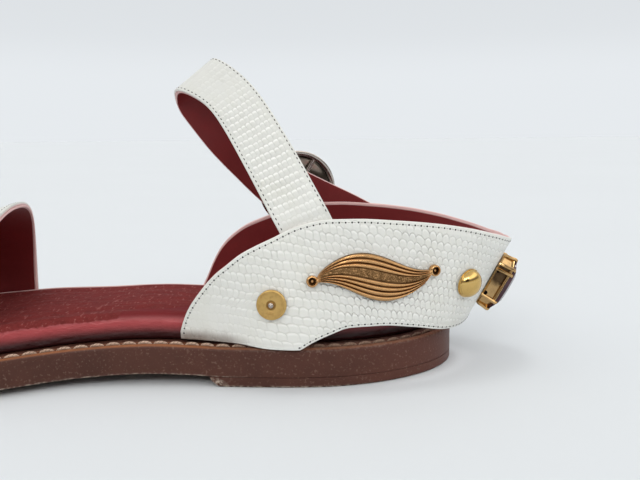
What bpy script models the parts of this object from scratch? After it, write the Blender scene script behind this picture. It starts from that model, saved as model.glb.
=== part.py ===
"""A right sandal: welted leather sole, padded insole, flared heel band with an ankle strap, a plain toe band
and metal ornaments. Metres, +Z up, toe to -X, inner side of the foot to -Y, floor at Z = 0."""

import math

import bmesh
import bpy
import numpy as np
from mathutils import Matrix, Vector

# Sole
HEEL_BACK_X = 0.11731
CENTRE_Y = 0.00027
SOLE_LENGTH = 0.2580
SOLE_THICKNESS = 0.0095
HEEL_CURVE = 0.0500
TOE_CURVE = 0.0740
HEEL_FULLNESS = 1.9
TOE_FULLNESS = 2.15
EDGE_ROUND = 0.0009
HEEL_BREAST = 0.0855
HEEL_LIFT = 0.0031
GAP = 0.0003
WELT_WIDTH = 0.0070
INSOLE_HEIGHT = 0.0086

# Each row is one cross-section of the sole.
SOLE_COLUMNS = ("from_heel", "mid_line", "half_width", "bottom")
SOLE_ROWS = (
    (0.000, 0.0000, 0.0330, 0.0034),
    (0.050, 0.0001, 0.0330, 0.0034),
    (0.080, 0.0024, 0.0324, 0.0034),
    (0.092, 0.0043, 0.0320, 0.0037),
    (0.105, 0.0056, 0.0322, 0.0041),
    (0.115, 0.0063, 0.0325, 0.0039),
    (0.127, 0.0067, 0.0332, 0.0033),
    (0.150, 0.0044, 0.0378, 0.0026),
    (0.168, 0.0024, 0.0414, 0.0011),
    (0.184, 0.0006, 0.0436, 0.0000),
    (0.210, -0.0030, 0.0440, 0.0000),
    (0.232, -0.0058, 0.0440, 0.0014),
    (0.258, -0.0085, 0.0440, 0.0052),
)

# Heel band
BAND_WALL = 0.0024
BAND_FRONT = 0.0950
BAND_BEND = 0.0380
BAND_FOOT_Z = 0.0120
BAND_HEAD_Z = 0.0540
BAND_FOOT_BACK = 0.0040
BAND_HEAD_BACK = 0.0281
BAND_ROWS_UP = 7
BAND_STATIONS = 27
BAND_CROWDING = 1.15

# Half widths of the side panels in front of the heel's bend, at the foot of each and at their heads.
PANEL_COLUMNS = ("from_heel", "near_foot", "far_foot", "head")
PANEL_ROWS = (
    (0.0380, 0.0338, 0.0338, 0.0303),
    (0.0575, 0.0348, 0.0348, 0.0304),
    (0.0660, 0.0328, 0.0345, 0.0304),
    (0.0750, 0.0302, 0.0340, 0.0303),
    (0.0840, 0.0270, 0.0338, 0.0302),
    (0.0950, 0.0239, 0.0330, 0.0300),
)

# Edges of the band from the panel's front edge (share 0) to the back of the heel (share 1).
BAND_TOP_COLUMNS = ("share", "near", "far")
BAND_TOP_ROWS = (
    (0.000, 0.0175, 0.0170),
    (0.006, 0.0198, 0.0186),
    (0.014, 0.0222, 0.0206),
    (0.028, 0.0255, 0.0238),
    (0.059, 0.0306, 0.0317),
    (0.082, 0.0339, 0.0363),
    (0.109, 0.0371, 0.0400),
    (0.133, 0.0393, 0.0424),
    (0.157, 0.0416, 0.0444),
    (0.178, 0.0434, 0.0458),
    (0.215, 0.0458, 0.0476),
    (0.263, 0.0484, 0.0496),
    (0.346, 0.0526, 0.0527),
    (0.429, 0.0543, 0.0543),
    (0.500, 0.0543, 0.0543),
    (0.569, 0.0534, 0.0534),
    (0.638, 0.0519, 0.0519),
    (0.706, 0.0498, 0.0498),
    (0.797, 0.0467, 0.0467),
    (0.900, 0.0440, 0.0440),
    (1.000, 0.0430, 0.0430),
)
BAND_ARCH_COLUMNS = ("share", "height")
BAND_ARCH_ROWS = (
    (0.000, 0.0000),
    (0.325, 0.0122),
    (0.375, 0.0153),
    (0.425, 0.0177),
    (0.482, 0.0197),
    (0.556, 0.0200),
    (0.632, 0.0187),
    (0.749, 0.0158),
    (0.820, 0.0152),
    (0.860, 0.0154),
    (0.930, 0.0165),
    (1.000, 0.0177),
)

# Ankle strap: from inside the near panel, over the instep, into the far panel, where its tab widens.
# Places along it are counted in rows.
STRAP_BACK_HALF = 0.00815
STRAP_THICKNESS = 0.0020
STRAP_STEPS = 52
STRAP_COLUMNS = ("from_heel", "side", "height", "lean_deg", "front_half")
STRAP_ROWS = (
    (0.0495, -0.0291, 0.0440, 21.0, 0.0088),
    (0.0532, -0.0285, 0.0520, 22.0, 0.0088),
    (0.0566, -0.0264, 0.0585, 23.5, 0.0088),
    (0.0645, -0.0176, 0.0732, 26.0, 0.0088),
    (0.0728, -0.0073, 0.0872, 30.0, 0.0086),
    (0.0790, -0.0010, 0.0950, 33.0, 0.0084),
    (0.0854, 0.0034, 0.1002, 36.5, 0.0090),
    (0.0900, 0.0080, 0.1021, 38.5, 0.0095),
    (0.0912, 0.0126, 0.0996, 37.5, 0.0094),
    (0.0905, 0.0155, 0.0947, 35.5, 0.0088),
    (0.0862, 0.0172, 0.0872, 34.0, 0.0082),
    (0.0806, 0.0190, 0.0794, 37.0, 0.0080),
    (0.0728, 0.0228, 0.0706, 46.0, 0.0080),
    (0.0600, 0.0272, 0.0622, 57.0, 0.0115),
    (0.0487, 0.0294, 0.0562, 60.0, 0.0130),
    (0.0360, 0.0295, 0.0500, 61.0, 0.0120),
    (0.0290, 0.0296, 0.0462, 61.0, 0.0100),
)
BUCKLE_ROW = 13.54
TIP_FIRST_ROW = 12.9
TIP_LAST_ROW = 14.75
TIP_LIFT = 0.0017
TIP_STEPS = 14
TIP_HALF = 0.0076
TIP_ROUND = 0.9
TIP_BLUNT = 0.12

# Toe band, finished plainly
TOE_BAND_WALL = 0.0022
TOE_BAND_BACK = 0.1610
TOE_BAND_FRONT = 0.2020
TOE_BAND_SWEEP = 0.0070
TOE_BAND_BACK_RISE = 0.0460
TOE_BAND_FRONT_RISE = 0.0365
TOE_BAND_INSET = 0.0040
TOE_BAND_FULLNESS = 2.3
TOE_BAND_STEPS = 32
TOE_BAND_ROWS_ALONG = 6

# Ornaments, each placed by its distance ahead of the heel's back and its height
LEAF_START = (0.0521, 0.0351)
LEAF_END = (0.0126, 0.0371)
LEAF_BODY = (0.030, 0.965)
LEAF_TIP = 0.0005
LEAF_UPPER = 0.0073
LEAF_LOWER = 0.0077
LEAF_LEAN = 0.7
LEAF_THICKNESS = 0.0020
LEAF_EDGE = 0.45
LEAF_STEPS = 22
LEAF_ACROSS = 7
EYELET_RADIUS = 0.0019
EYELET_THICKNESS = 0.0016
FLAT_STUD_AT = (0.0648, 0.0278)
FLAT_STUD_RADIUS = 0.0048
FLAT_STUD_THICKNESS = 0.0013
FLAT_STUD_PIN = 0.0012
DOME_STUD_AT = (-0.0007, 0.0312)
DOME_STUD_RADIUS = 0.0050
DOME_STUD_HEIGHT = 0.0038
ROUND_STEPS = 24
JEWEL_HEIGHT = 0.0289
JEWEL_LONG = 0.0206
JEWEL_WIDE = 0.0180
JEWEL_CORNER = 0.0036
JEWEL_SADDLE = 0.0200
JEWEL_FLARE = 0.0008
SETTING_DEPTH = 0.0042
STONE_DEPTH = 0.0026
BUCKLE_RADIUS = 0.0154
BUCKLE_DEPTH = 0.0048
BUCKLE_WALL = 0.0012
BUCKLE_RIM = 0.0019
BUCKLE_CLEARANCE = 0.0006
BAR_RADIUS = 0.0009
BAR_INSET = 0.0002

OBJECT_NAME = "sandal"


def fresh_scene():
    """Two collections: one for the sandal's pieces, one for the helpers that are joined into them."""
    for old in list(bpy.data.objects):
        bpy.data.objects.remove(old)
    pieces = bpy.data.collections.new(OBJECT_NAME)
    helpers = bpy.data.collections.new("helpers")
    bpy.context.scene.collection.children.link(pieces)
    bpy.context.scene.collection.children.link(helpers)
    return pieces, helpers


def make_material(name, colour, roughness, metallic=0.0):
    material = bpy.data.materials.new(name)
    material.use_nodes = True
    shader = material.node_tree.nodes["Principled BSDF"]
    shader.inputs["Base Color"].default_value = (*colour, 1.0)
    shader.inputs["Roughness"].default_value = roughness
    shader.inputs["Metallic"].default_value = metallic
    return material


def smooth(rows, columns, name, at):
    """A column of a table as a smooth line through its rows, which never swings past a row's value."""
    table = np.array(rows)
    x, y = table[:, 0], table[:, columns.index(name)]
    step, slope = np.diff(x), np.diff(y) / np.diff(x)
    same_way = slope[:-1] * slope[1:] > 0
    weight_a, weight_b = 2 * step[1:] + step[:-1], step[1:] + 2 * step[:-1]
    safe = np.where(same_way, slope[:-1], 1.0), np.where(same_way, slope[1:], 1.0)
    inner = (weight_a + weight_b) / (weight_a / safe[0] + weight_b / safe[1])
    tangent = np.concatenate([[slope[0]], np.where(same_way, inner, 0.0), [slope[-1]]])
    at = np.clip(np.asarray(at, float), x[0], x[-1])
    i = np.clip(np.searchsorted(x, at, side="right") - 1, 0, len(step) - 1)
    t = (at - x[i]) / step[i]
    start = (1 + 2 * t) * (1 - t) ** 2 * y[i] + t * (1 - t) ** 2 * step[i] * tangent[i]
    return start + t * t * (3 - 2 * t) * y[i + 1] + t * t * (t - 1) * step[i] * tangent[i + 1]


def rounded(distance, reach, fullness):
    """Share of the full width at a distance from a rounded end, whose curve is reach long."""
    t = np.clip(1 - np.asarray(distance) / reach, 0.0, 1.0)
    return (1 - t**fullness) ** (1 / fullness)


def sole_plan(inset, stop=None, count=41):
    """Stations from the heel, with the near and far edges of the sole's outline drawn in by inset."""
    end = SOLE_LENGTH - inset
    share = 0.5 - 0.5 * np.cos(np.linspace(0.0, math.pi, count))
    if stop is not None:
        end = stop - inset
        share = 1.0 - np.cos(np.linspace(0.0, math.pi / 2, count))
    station = inset + share * (end - inset)
    half = smooth(SOLE_ROWS, SOLE_COLUMNS, "half_width", station) - inset
    half = half * rounded(station - inset, HEEL_CURVE - inset, HEEL_FULLNESS)
    half = half * rounded(SOLE_LENGTH - inset - station, TOE_CURVE - inset, TOE_FULLNESS)
    mid = smooth(SOLE_ROWS, SOLE_COLUMNS, "mid_line", station)
    return station, mid - half, mid + half


def sole_bottom(station):
    return smooth(SOLE_ROWS, SOLE_COLUMNS, "bottom", station)


def world(from_heel, side, height):
    """Points in the sandal's frame, from distances ahead of the heel's back."""
    from_heel, side, height = np.broadcast_arrays(from_heel, side, height)
    return np.stack([HEEL_BACK_X - from_heel, CENTRE_Y + side, height], axis=-1)


def add_mesh(name, points, faces, collection, material):
    mesh = bpy.data.meshes.new(name)
    mesh.from_pydata([tuple(p) for p in points], [], faces)
    work = bmesh.new()
    work.from_mesh(mesh)
    bmesh.ops.remove_doubles(work, verts=work.verts, dist=1e-6)
    bmesh.ops.recalc_face_normals(work, faces=work.faces)
    work.to_mesh(mesh)
    work.free()
    mesh.materials.append(material)
    mesh.shade_smooth()
    mesh.set_sharp_from_angle(angle=math.radians(40))
    piece = bpy.data.objects.new(name, mesh)
    collection.objects.link(piece)
    return piece


def grid_faces(rows, columns, closed=False):
    """Quads of a grid of points, numbered row by row. A closed grid joins its last column to its first."""
    faces = []
    for row in range(rows - 1):
        here, above = row * columns, (row + 1) * columns
        for a in range(columns if closed else columns - 1):
            b = (a + 1) % columns
            faces.append((here + a, here + b, above + b, above + a))
    return faces


def slab(name, levels, collection, material, stop=None):
    """A layer of the sole: closed outlines stacked from bottom to top, each drawn in by its own inset.
    With a stop, the layer ends there in a straight cut."""
    rings = []
    for inset, height in levels:
        station, near, far = sole_plan(inset, stop)
        z = height(station)
        up = world(station, near, z)
        down = world(station, far, z)[::-1]
        rings.append(np.concatenate([up, down]))
    count = len(rings[0])
    faces = grid_faces(len(rings), count, closed=True)
    top = (len(rings) - 1) * count
    for i in range(count // 2 - 1):
        j = count - 1 - i
        faces.append((i, i + 1, j - 1, j))
        faces.append((top + i, top + j, top + j - 1, top + i + 1))
    return add_mesh(name, np.concatenate(rings), faces, collection, material)


def make_outsole(collection, material):
    def over(lift):
        return lambda station: sole_bottom(station) + lift

    levels = (
        (EDGE_ROUND, over(0.0)),
        (0.0, over(EDGE_ROUND)),
        (0.0, over(SOLE_THICKNESS - EDGE_ROUND)),
        (EDGE_ROUND, over(SOLE_THICKNESS)),
    )
    return slab("outsole", levels, collection, material)


def make_heel_lift(collection, material):
    levels = (
        (EDGE_ROUND, lambda station: 0.0 * station),
        (0.0, lambda station: 0.0 * station + EDGE_ROUND),
        (0.0, lambda station: 0.0 * station + HEEL_LIFT),
    )
    return slab("heel_lift", levels, collection, material, stop=HEEL_BREAST)


def insole_top(station):
    return sole_bottom(station) + SOLE_THICKNESS + GAP + INSOLE_HEIGHT


def make_insole(collection, material):
    """Padded insole inside the welt, its upper edge rolled over. Each row of the roll is an inset from the
    insole's outline and a share of its height."""
    roll = (
        (0.0006, 0.00),
        (0.0000, 0.12),
        (0.0000, 0.50),
        (0.0006, 0.78),
        (0.0018, 0.94),
        (0.0036, 1.00),
    )

    def at(share):
        return lambda station: insole_top(station) - (1 - share) * INSOLE_HEIGHT

    levels = [(WELT_WIDTH + inset, at(share)) for inset, share in roll]
    return slab("insole", levels, collection, material)


def band_edges(share, side):
    """Lower and upper edge heights of the heel band."""
    ahead = BAND_FRONT - 2 * np.minimum(share, 0.5) * (BAND_FRONT - BAND_BEND)
    rest = sole_bottom(ahead) + SOLE_THICKNESS + GAP
    arch = smooth(BAND_ARCH_ROWS, BAND_ARCH_COLUMNS, "height", share)
    at_panel = share < 0.5
    low = np.where(at_panel, np.maximum(arch, rest), arch)
    return low, smooth(BAND_TOP_ROWS, BAND_TOP_COLUMNS, "near" if side < 0 else "far", share)


def band_surface(share, height, side):
    """Outer face of the heel band. Rulings run from a foot guide to a head guide: along the panel first, then
    round the heel on two ellipses, the upper one longer, so that the back leans outwards."""
    share, height = np.broadcast_arrays(np.asarray(share, float), np.asarray(height, float))
    ahead = BAND_FRONT - 2 * np.minimum(share, 0.5) * (BAND_FRONT - BAND_BEND)
    turn = np.clip(2 * share - 1, 0, 1) * math.pi / 2
    foot = "near_foot" if side < 0 else "far_foot"
    foot_half = smooth(PANEL_ROWS, PANEL_COLUMNS, foot, ahead) * np.cos(turn)
    head_half = smooth(PANEL_ROWS, PANEL_COLUMNS, "head", ahead) * np.cos(turn)
    foot_ahead = ahead - (BAND_BEND + BAND_FOOT_BACK) * np.sin(turn)
    head_ahead = ahead - (BAND_BEND + BAND_HEAD_BACK) * np.sin(turn)
    rise = (height - BAND_FOOT_Z) / (BAND_HEAD_Z - BAND_FOOT_Z)
    half = foot_half + rise * (head_half - foot_half)
    return world(foot_ahead + rise * (head_ahead - foot_ahead), side * half, height)


def band_share(from_heel, height):
    """Share of the way round the band at a distance ahead of the heel's back."""
    rise = (height - BAND_FOOT_Z) / (BAND_HEAD_Z - BAND_FOOT_Z)
    reach = BAND_BEND + BAND_FOOT_BACK + rise * (BAND_HEAD_BACK - BAND_FOOT_BACK)
    if from_heel > BAND_BEND:
        return 0.5 * (BAND_FRONT - from_heel) / (BAND_FRONT - BAND_BEND)
    return 0.5 + math.asin(min(1.0, (BAND_BEND - from_heel) / reach)) / math.pi


def band_frame(from_heel, height, side):
    """A point of the band's outer face with its outward and upward directions."""
    step = 1e-4
    share = band_share(from_heel, height)
    here = band_surface(share, height, side)
    back = band_surface(share + step, height, side) - band_surface(share - step, height, side)
    up = band_surface(share, height + step, side) - band_surface(share, height - step, side)
    back, up = Vector(back).normalized(), Vector(up).normalized()
    out = back.cross(up) * -side
    return Vector(here), out.normalized(), up


def make_band(collection, material):
    """The heel band as one sheet from the near panel round the heel to the far panel."""
    share = np.linspace(0.0, 1.0, BAND_STATIONS) ** BAND_CROWDING
    climb = np.linspace(0.0, 1.0, BAND_ROWS_UP)[:, None]
    halves = []
    for side in (-1, 1):
        low, high = band_edges(share, side)
        halves.append(band_surface(share, low + climb * (high - low), side))
    points = np.concatenate([halves[0], halves[1][:, -2::-1]], axis=1)
    rows, columns = points.shape[:2]
    band = add_mesh("upper", points.reshape(-1, 3), grid_faces(rows, columns), collection, material)
    return thicken(band, BAND_WALL, inward_of=Vector(world(BAND_BEND, 0.0, BAND_HEAD_Z)))


def thicken(sheet, wall, inward_of=None):
    """Gives a sheet its wall: on both sides, or only towards the point inward_of."""
    offset = 0.0
    if inward_of is not None:
        face = sheet.data.polygons[0]
        offset = 1.0 if face.normal.dot(inward_of - face.center) > 0 else -1.0
    wall_of = sheet.modifiers.new("wall", "SOLIDIFY")
    wall_of.thickness = wall
    wall_of.offset = offset
    wall_of.use_even_offset = True
    return sheet


def strap_column(name, row):
    """Cubic through a column of the strap's rows, with each row's slope taken from its neighbours."""
    value = np.array(STRAP_ROWS)[:, STRAP_COLUMNS.index(name)]
    tangent = np.gradient(value)
    i = np.clip(np.floor(row).astype(int), 0, len(value) - 2)
    t = row - i
    start = (1 + 2 * t) * (1 - t) ** 2 * value[i] + t * (1 - t) ** 2 * tangent[i]
    return start + t * t * (3 - 2 * t) * value[i + 1] + t * t * (t - 1) * tangent[i + 1]


def strap_line(row):
    """Middle line of the ankle strap, its width direction and its outward normal."""

    def middle(at):
        at = np.clip(at, 0, len(STRAP_ROWS) - 1)
        return world(strap_column("from_heel", at), strap_column("side", at), strap_column("height", at))

    nudge = 0.02
    run = middle(row + nudge) - middle(row - nudge)
    run /= np.linalg.norm(run, axis=1, keepdims=True)
    lean = np.radians(strap_column("lean_deg", row))
    wide = np.stack([np.cos(lean), 0 * lean, np.sin(lean)], axis=1)
    out = np.cross(wide, run)
    return middle(row), wide, out / np.linalg.norm(out, axis=1, keepdims=True)


def make_ribbon(name, row, front, back, lift, collection, material):
    """A strip along the strap's line, reaching front and back across it, lifted off it along its normal."""
    here, wide, out = strap_line(row)
    front, back = front[:, None], back[:, None]
    points = [here + out * lift + wide * (a * back - (1 - a) * front) for a in np.linspace(0.0, 1.0, 5)]
    points = np.stack(points, axis=1)
    rows, columns = points.shape[:2]
    strip = add_mesh(name, points.reshape(-1, 3), grid_faces(rows, columns), collection, material)
    strip.hide_render = True
    strip.display_type = "WIRE"
    return thicken(strip, STRAP_THICKNESS)


def join(piece, other):
    union = piece.modifiers.new("join_" + other.name, "BOOLEAN")
    union.operation = "UNION"
    union.object = other


def make_upper(collection, helpers, material):
    """Heel band, ankle strap and the strap's free tip, sewn into one."""
    upper = make_band(collection, material)
    row = np.linspace(0.0, len(STRAP_ROWS) - 1, STRAP_STEPS)
    back = np.full(STRAP_STEPS, STRAP_BACK_HALF)
    strap = make_ribbon("ankle_strap", row, strap_column("front_half", row), back, 0.0, helpers, material)
    row = np.linspace(TIP_FIRST_ROW, TIP_LAST_ROW, TIP_STEPS)
    half = TIP_HALF * np.maximum(rounded(TIP_LAST_ROW - row, TIP_ROUND, 2.0), TIP_BLUNT)
    tip = make_ribbon("strap_tip", row, half, half, TIP_LIFT, helpers, material)
    join(upper, strap)
    join(upper, tip)
    return upper


def toe_band_surface(across, along):
    """Outer face of the toe band: arches from the near welt (across 0) to the far welt (across 1)."""
    angle = math.pi * np.asarray(across)
    swept = TOE_BAND_SWEEP * np.sin(angle) ** 2
    from_heel = TOE_BAND_BACK + along * (TOE_BAND_FRONT - TOE_BAND_BACK) - swept
    mid = smooth(SOLE_ROWS, SOLE_COLUMNS, "mid_line", from_heel)
    half = smooth(SOLE_ROWS, SOLE_COLUMNS, "half_width", from_heel)
    half = half * rounded(SOLE_LENGTH - from_heel, TOE_CURVE, TOE_FULLNESS) - TOE_BAND_INSET
    rise = TOE_BAND_BACK_RISE + along * (TOE_BAND_FRONT_RISE - TOE_BAND_BACK_RISE)
    power = 2 / TOE_BAND_FULLNESS
    side = mid - half * np.sign(np.cos(angle)) * np.abs(np.cos(angle)) ** power
    base = sole_bottom(from_heel) + SOLE_THICKNESS + GAP
    return world(from_heel, side, base + rise * np.sin(angle) ** power)


def make_toe_band(collection, material):
    across = np.linspace(0.0, 1.0, TOE_BAND_STEPS)
    along = np.linspace(0.0, 1.0, TOE_BAND_ROWS_ALONG)[:, None]
    points = toe_band_surface(across[None, :], along)
    rows, columns = points.shape[:2]
    band = add_mesh("toe_band", points.reshape(-1, 3), grid_faces(rows, columns), collection, material)
    middle = (TOE_BAND_BACK + TOE_BAND_FRONT) / 2
    return thicken(band, TOE_BAND_WALL, inward_of=Vector(world(middle, 0.0, SOLE_THICKNESS)))


def leaf_half(t):
    """Reach of one edge of the leaf: a bump that leans to its start and tapers to its end."""
    return np.clip(np.sin(math.pi * t**LEAF_LEAN), 0.0, 1.0) ** (1 + t)


def make_leaf(name, side, collection, helpers, material):
    """S-shaped leaf laid on the band, domed, with an eyelet at each end."""
    t = np.linspace(0.0, 1.0, LEAF_STEPS)
    upper = LEAF_TIP + LEAF_UPPER * leaf_half(t)
    lower = -LEAF_TIP - LEAF_LOWER * leaf_half(1 - t)
    along = LEAF_BODY[0] + t * (LEAF_BODY[1] - LEAF_BODY[0])
    ahead = LEAF_START[0] + along * (LEAF_END[0] - LEAF_START[0])
    line = LEAF_START[1] + along * (LEAF_END[1] - LEAF_START[1])
    across = np.linspace(-1.0, 1.0, LEAF_ACROSS)
    over = 2 * GAP + LEAF_THICKNESS * (LEAF_EDGE + (1 - LEAF_EDGE) * np.sqrt(1 - across**2))
    rings = []
    for d, z, high, low in zip(ahead, line, upper, lower):
        points = [band_frame(d, z + r, side) for r in low + (across + 1) / 2 * (high - low)]
        ring = [here + out * lift for (here, out, _), lift in zip(points, over)]
        ring += [here + out * 2 * GAP for here, out, _ in reversed(points)]
        rings.append(ring)
    count = len(rings[0])
    faces = grid_faces(len(rings), count, closed=True)
    last = (len(rings) - 1) * count
    for i in range(count // 2 - 1):
        j = count - 1 - i
        faces.append((i, j, j - 1, i + 1))
        faces.append((last + i, last + i + 1, last + j - 1, last + j))
    leaf = add_mesh(name, [p for ring in rings for p in ring], faces, collection, material)
    for end, (d, z) in enumerate((LEAF_START, LEAF_END)):
        rim = (EYELET_RADIUS, EYELET_THICKNESS)
        profile = ((0.0, EYELET_THICKNESS), rim, (EYELET_RADIUS, 0.0), (0.0, 0.0))
        eyelet = turned(f"{name}_eyelet_{end}", profile, helpers, material)
        seat(eyelet, d, z, side, 2 * GAP)
        eyelet.hide_render = True
        eyelet.display_type = "WIRE"
        join(leaf, eyelet)
    return leaf


def turned(name, profile, collection, material):
    """A turned piece: a profile of (radius, height) points, top to bottom, spun about Z."""
    points = [(radius, 0.0, height) for radius, height in profile]
    mesh = bpy.data.meshes.new(name)
    mesh.from_pydata(points, [(i, i + 1) for i in range(len(points) - 1)], [])
    mesh.materials.append(material)
    piece = bpy.data.objects.new(name, mesh)
    collection.objects.link(piece)
    spin = piece.modifiers.new("turn", "SCREW")
    spin.steps = spin.render_steps = ROUND_STEPS
    spin.use_merge_vertices = True
    spin.merge_threshold = 1e-5
    return piece


def seat(piece, from_heel, height, side, lift):
    """Sets a piece on the band's outer face, its Z outwards and its Y up the band."""
    here, out, up = band_frame(from_heel, height, side)
    right = up.cross(out).normalized()
    turn = Matrix((right, out.cross(right), out)).transposed().to_4x4()
    piece.matrix_world = Matrix.Translation(here + out * lift) @ turn


def arc_profile(radius, height, steps):
    """Quarter round from the top of a dome down to its rim."""
    angles = np.linspace(0.0, math.pi / 2, steps)
    return [(radius * math.sin(a), height * math.cos(a)) for a in angles]


def make_studs(label, side, collection, material):
    """One flat stud with a round-headed pin, and one domed stud."""
    pin = [(r, FLAT_STUD_THICKNESS + h) for r, h in arc_profile(FLAT_STUD_PIN, FLAT_STUD_PIN, 5)]
    edge = FLAT_STUD_THICKNESS / 3
    flat = pin + [
        (FLAT_STUD_RADIUS - edge, FLAT_STUD_THICKNESS),
        (FLAT_STUD_RADIUS, FLAT_STUD_THICKNESS - edge),
        (FLAT_STUD_RADIUS, 0.0),
        (0.0, 0.0),
    ]
    seat(turned(f"flat_stud_{label}", flat, collection, material), *FLAT_STUD_AT, side, 1.5 * GAP)
    dome = arc_profile(DOME_STUD_RADIUS, DOME_STUD_HEIGHT, 8) + [(0.0, 0.0)]
    seat(turned(f"dome_stud_{label}", dome, collection, material), *DOME_STUD_AT, side, GAP)


def cut_corner_ring(long, wide, corner, depth):
    """Rectangle with cut corners, at a depth along Z."""
    a, b = long / 2, wide / 2
    half = [(b, a - corner), (b - corner, a), (corner - b, a), (-b, a - corner)]
    return [(x, y, depth) for x, y in half + [(-x, -y) for x, y in half]]


def stacked(name, rings, collection, material):
    """A solid through like rings of eight corners, capped at both ends by strips along Y."""
    count = len(rings[0])
    faces = grid_faces(len(rings), count, closed=True)
    last = (len(rings) - 1) * count
    for start in (0, last):
        faces += [tuple(start + i for i in strip) for strip in ((0, 7, 6, 1), (1, 6, 5, 2), (2, 5, 4, 3))]
    return add_mesh(name, [p for ring in rings for p in ring], faces, collection, material)


def make_jewel(collection, gold, glass):
    """Step-cut stone in a box setting on the back of the heel, its foot saddled to the leather."""

    def ring(grow, depth):
        return cut_corner_ring(JEWEL_LONG + grow, JEWEL_WIDE + grow, JEWEL_CORNER, depth)

    foot = [(x, y, GAP - x * x / (2 * JEWEL_SADDLE)) for x, y, _ in ring(-2 * JEWEL_FLARE, 0.0)]
    setting = stacked("jewel_setting", [foot, ring(0.0, SETTING_DEPTH)], collection, gold)
    seat_at, girdle, table = SETTING_DEPTH + GAP, SETTING_DEPTH + STONE_DEPTH / 3, SETTING_DEPTH + STONE_DEPTH
    levels = [ring(-2 * JEWEL_FLARE, seat_at), ring(-JEWEL_FLARE, girdle), ring(-8 * JEWEL_FLARE, table)]
    stone = stacked("jewel_stone", levels, collection, glass)
    very_back = -BAND_HEAD_BACK
    for piece in (setting, stone):
        seat(piece, very_back, JEWEL_HEIGHT, -1, GAP)


def make_buckle(collection, helpers, metal):
    """Domed round buckle over the outside of the strap, hollow behind, with a cross bar."""
    here, wide, out = (Vector(v[0]) for v in strap_line(np.array([BUCKLE_ROW])))
    outer = arc_profile(BUCKLE_RADIUS, BUCKLE_DEPTH, 9)
    inner = arc_profile(BUCKLE_RADIUS - BUCKLE_RIM, BUCKLE_DEPTH - BUCKLE_WALL, 7)
    buckle = turned("buckle", outer + inner[::-1], collection, metal)
    bpy.ops.mesh.primitive_cylinder_add(
        vertices=12, radius=BAR_RADIUS, depth=2 * (BUCKLE_RADIUS - BUCKLE_WALL), rotation=(0, math.pi / 2, 0)
    )
    bar = bpy.context.object
    bar.name = "buckle_bar"
    bar.data.materials.append(metal)
    bar.data.transform(Matrix.Translation((0, 0, BAR_RADIUS + BAR_INSET)) @ bar.matrix_basis)
    bar.matrix_basis = Matrix.Identity(4)
    for owner in bar.users_collection:
        owner.objects.unlink(bar)
    helpers.objects.link(bar)
    bar.hide_render = True
    bar.display_type = "WIRE"
    turn = Matrix((wide, out.cross(wide), out)).transposed().to_4x4()
    lift = TIP_LIFT + STRAP_THICKNESS / 2 + BUCKLE_CLEARANCE
    for piece in (buckle, bar):
        piece.matrix_world = Matrix.Translation(here + out * lift) @ turn
    join(buckle, bar)


def main():
    pieces, helpers = fresh_scene()
    white_leather = make_material("white_leather", (0.80, 0.80, 0.76), 0.45)
    red_leather = make_material("red_leather", (0.27, 0.045, 0.05), 0.55)
    brown_leather = make_material("brown_leather", (0.10, 0.045, 0.03), 0.5)
    gold = make_material("gold_metal", (0.75, 0.52, 0.22), 0.3, metallic=1.0)
    copper = make_material("copper_metal", (0.62, 0.36, 0.17), 0.35, metallic=1.0)
    silver = make_material("silver_metal", (0.55, 0.52, 0.49), 0.3, metallic=1.0)
    glass = make_material("dark_stone", (0.06, 0.03, 0.04), 0.08)
    make_outsole(pieces, brown_leather)
    make_heel_lift(pieces, brown_leather)
    make_insole(pieces, red_leather)
    make_upper(pieces, helpers, white_leather)
    make_toe_band(pieces, white_leather)
    make_buckle(pieces, helpers, silver)
    for label, side in (("near", -1), ("far", 1)):
        make_leaf(f"leaf_{label}", side, pieces, helpers, copper)
        make_studs(label, side, pieces, gold)
    make_jewel(pieces, gold, glass)


main()
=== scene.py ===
"""Looks of a right sandal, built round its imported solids: layered white leather with a red lining, a welted
sole, a worn red insole and metal ornaments. Metres, +Z up, toe to -X, inner side of the foot to -Y."""

import math

import bmesh
import bpy
import numpy as np
from mathutils import Matrix

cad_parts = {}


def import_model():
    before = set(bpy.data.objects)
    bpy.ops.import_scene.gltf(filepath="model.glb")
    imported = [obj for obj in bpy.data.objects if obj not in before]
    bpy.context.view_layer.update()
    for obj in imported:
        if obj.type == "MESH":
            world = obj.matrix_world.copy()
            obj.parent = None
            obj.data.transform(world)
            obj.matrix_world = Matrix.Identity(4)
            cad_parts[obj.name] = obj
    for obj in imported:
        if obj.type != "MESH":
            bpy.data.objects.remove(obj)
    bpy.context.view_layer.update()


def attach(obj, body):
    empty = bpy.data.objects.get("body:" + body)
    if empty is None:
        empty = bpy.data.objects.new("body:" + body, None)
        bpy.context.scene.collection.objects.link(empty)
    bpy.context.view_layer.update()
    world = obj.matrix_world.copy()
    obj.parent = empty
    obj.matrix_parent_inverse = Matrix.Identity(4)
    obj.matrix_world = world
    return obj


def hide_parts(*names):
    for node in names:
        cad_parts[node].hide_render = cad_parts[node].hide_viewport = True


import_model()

bl_info = {
    "name": "Sandal looks",
    "version": (1, 0, 0),
    "blender": (4, 5, 0),
    "location": "View3D > Sidebar > Sandal",
    "description": "Dresses the solids of a sandal in leather, thread, metal and stone",
    "category": "Object",
}

# Sole, as in the solids
HEEL_BACK_X = 0.11731
CENTRE_Y = 0.00027
SOLE_LENGTH = 0.2580
SOLE_THICKNESS = 0.0095
HEEL_CURVE = 0.0500
TOE_CURVE = 0.0740
HEEL_FULLNESS = 1.9
TOE_FULLNESS = 2.15
HEEL_BREAST = 0.0855
HEEL_LIFT = 0.0031
GAP = 0.0003
WELT_WIDTH = 0.0070
INSOLE_HEIGHT = 0.0086

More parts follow.
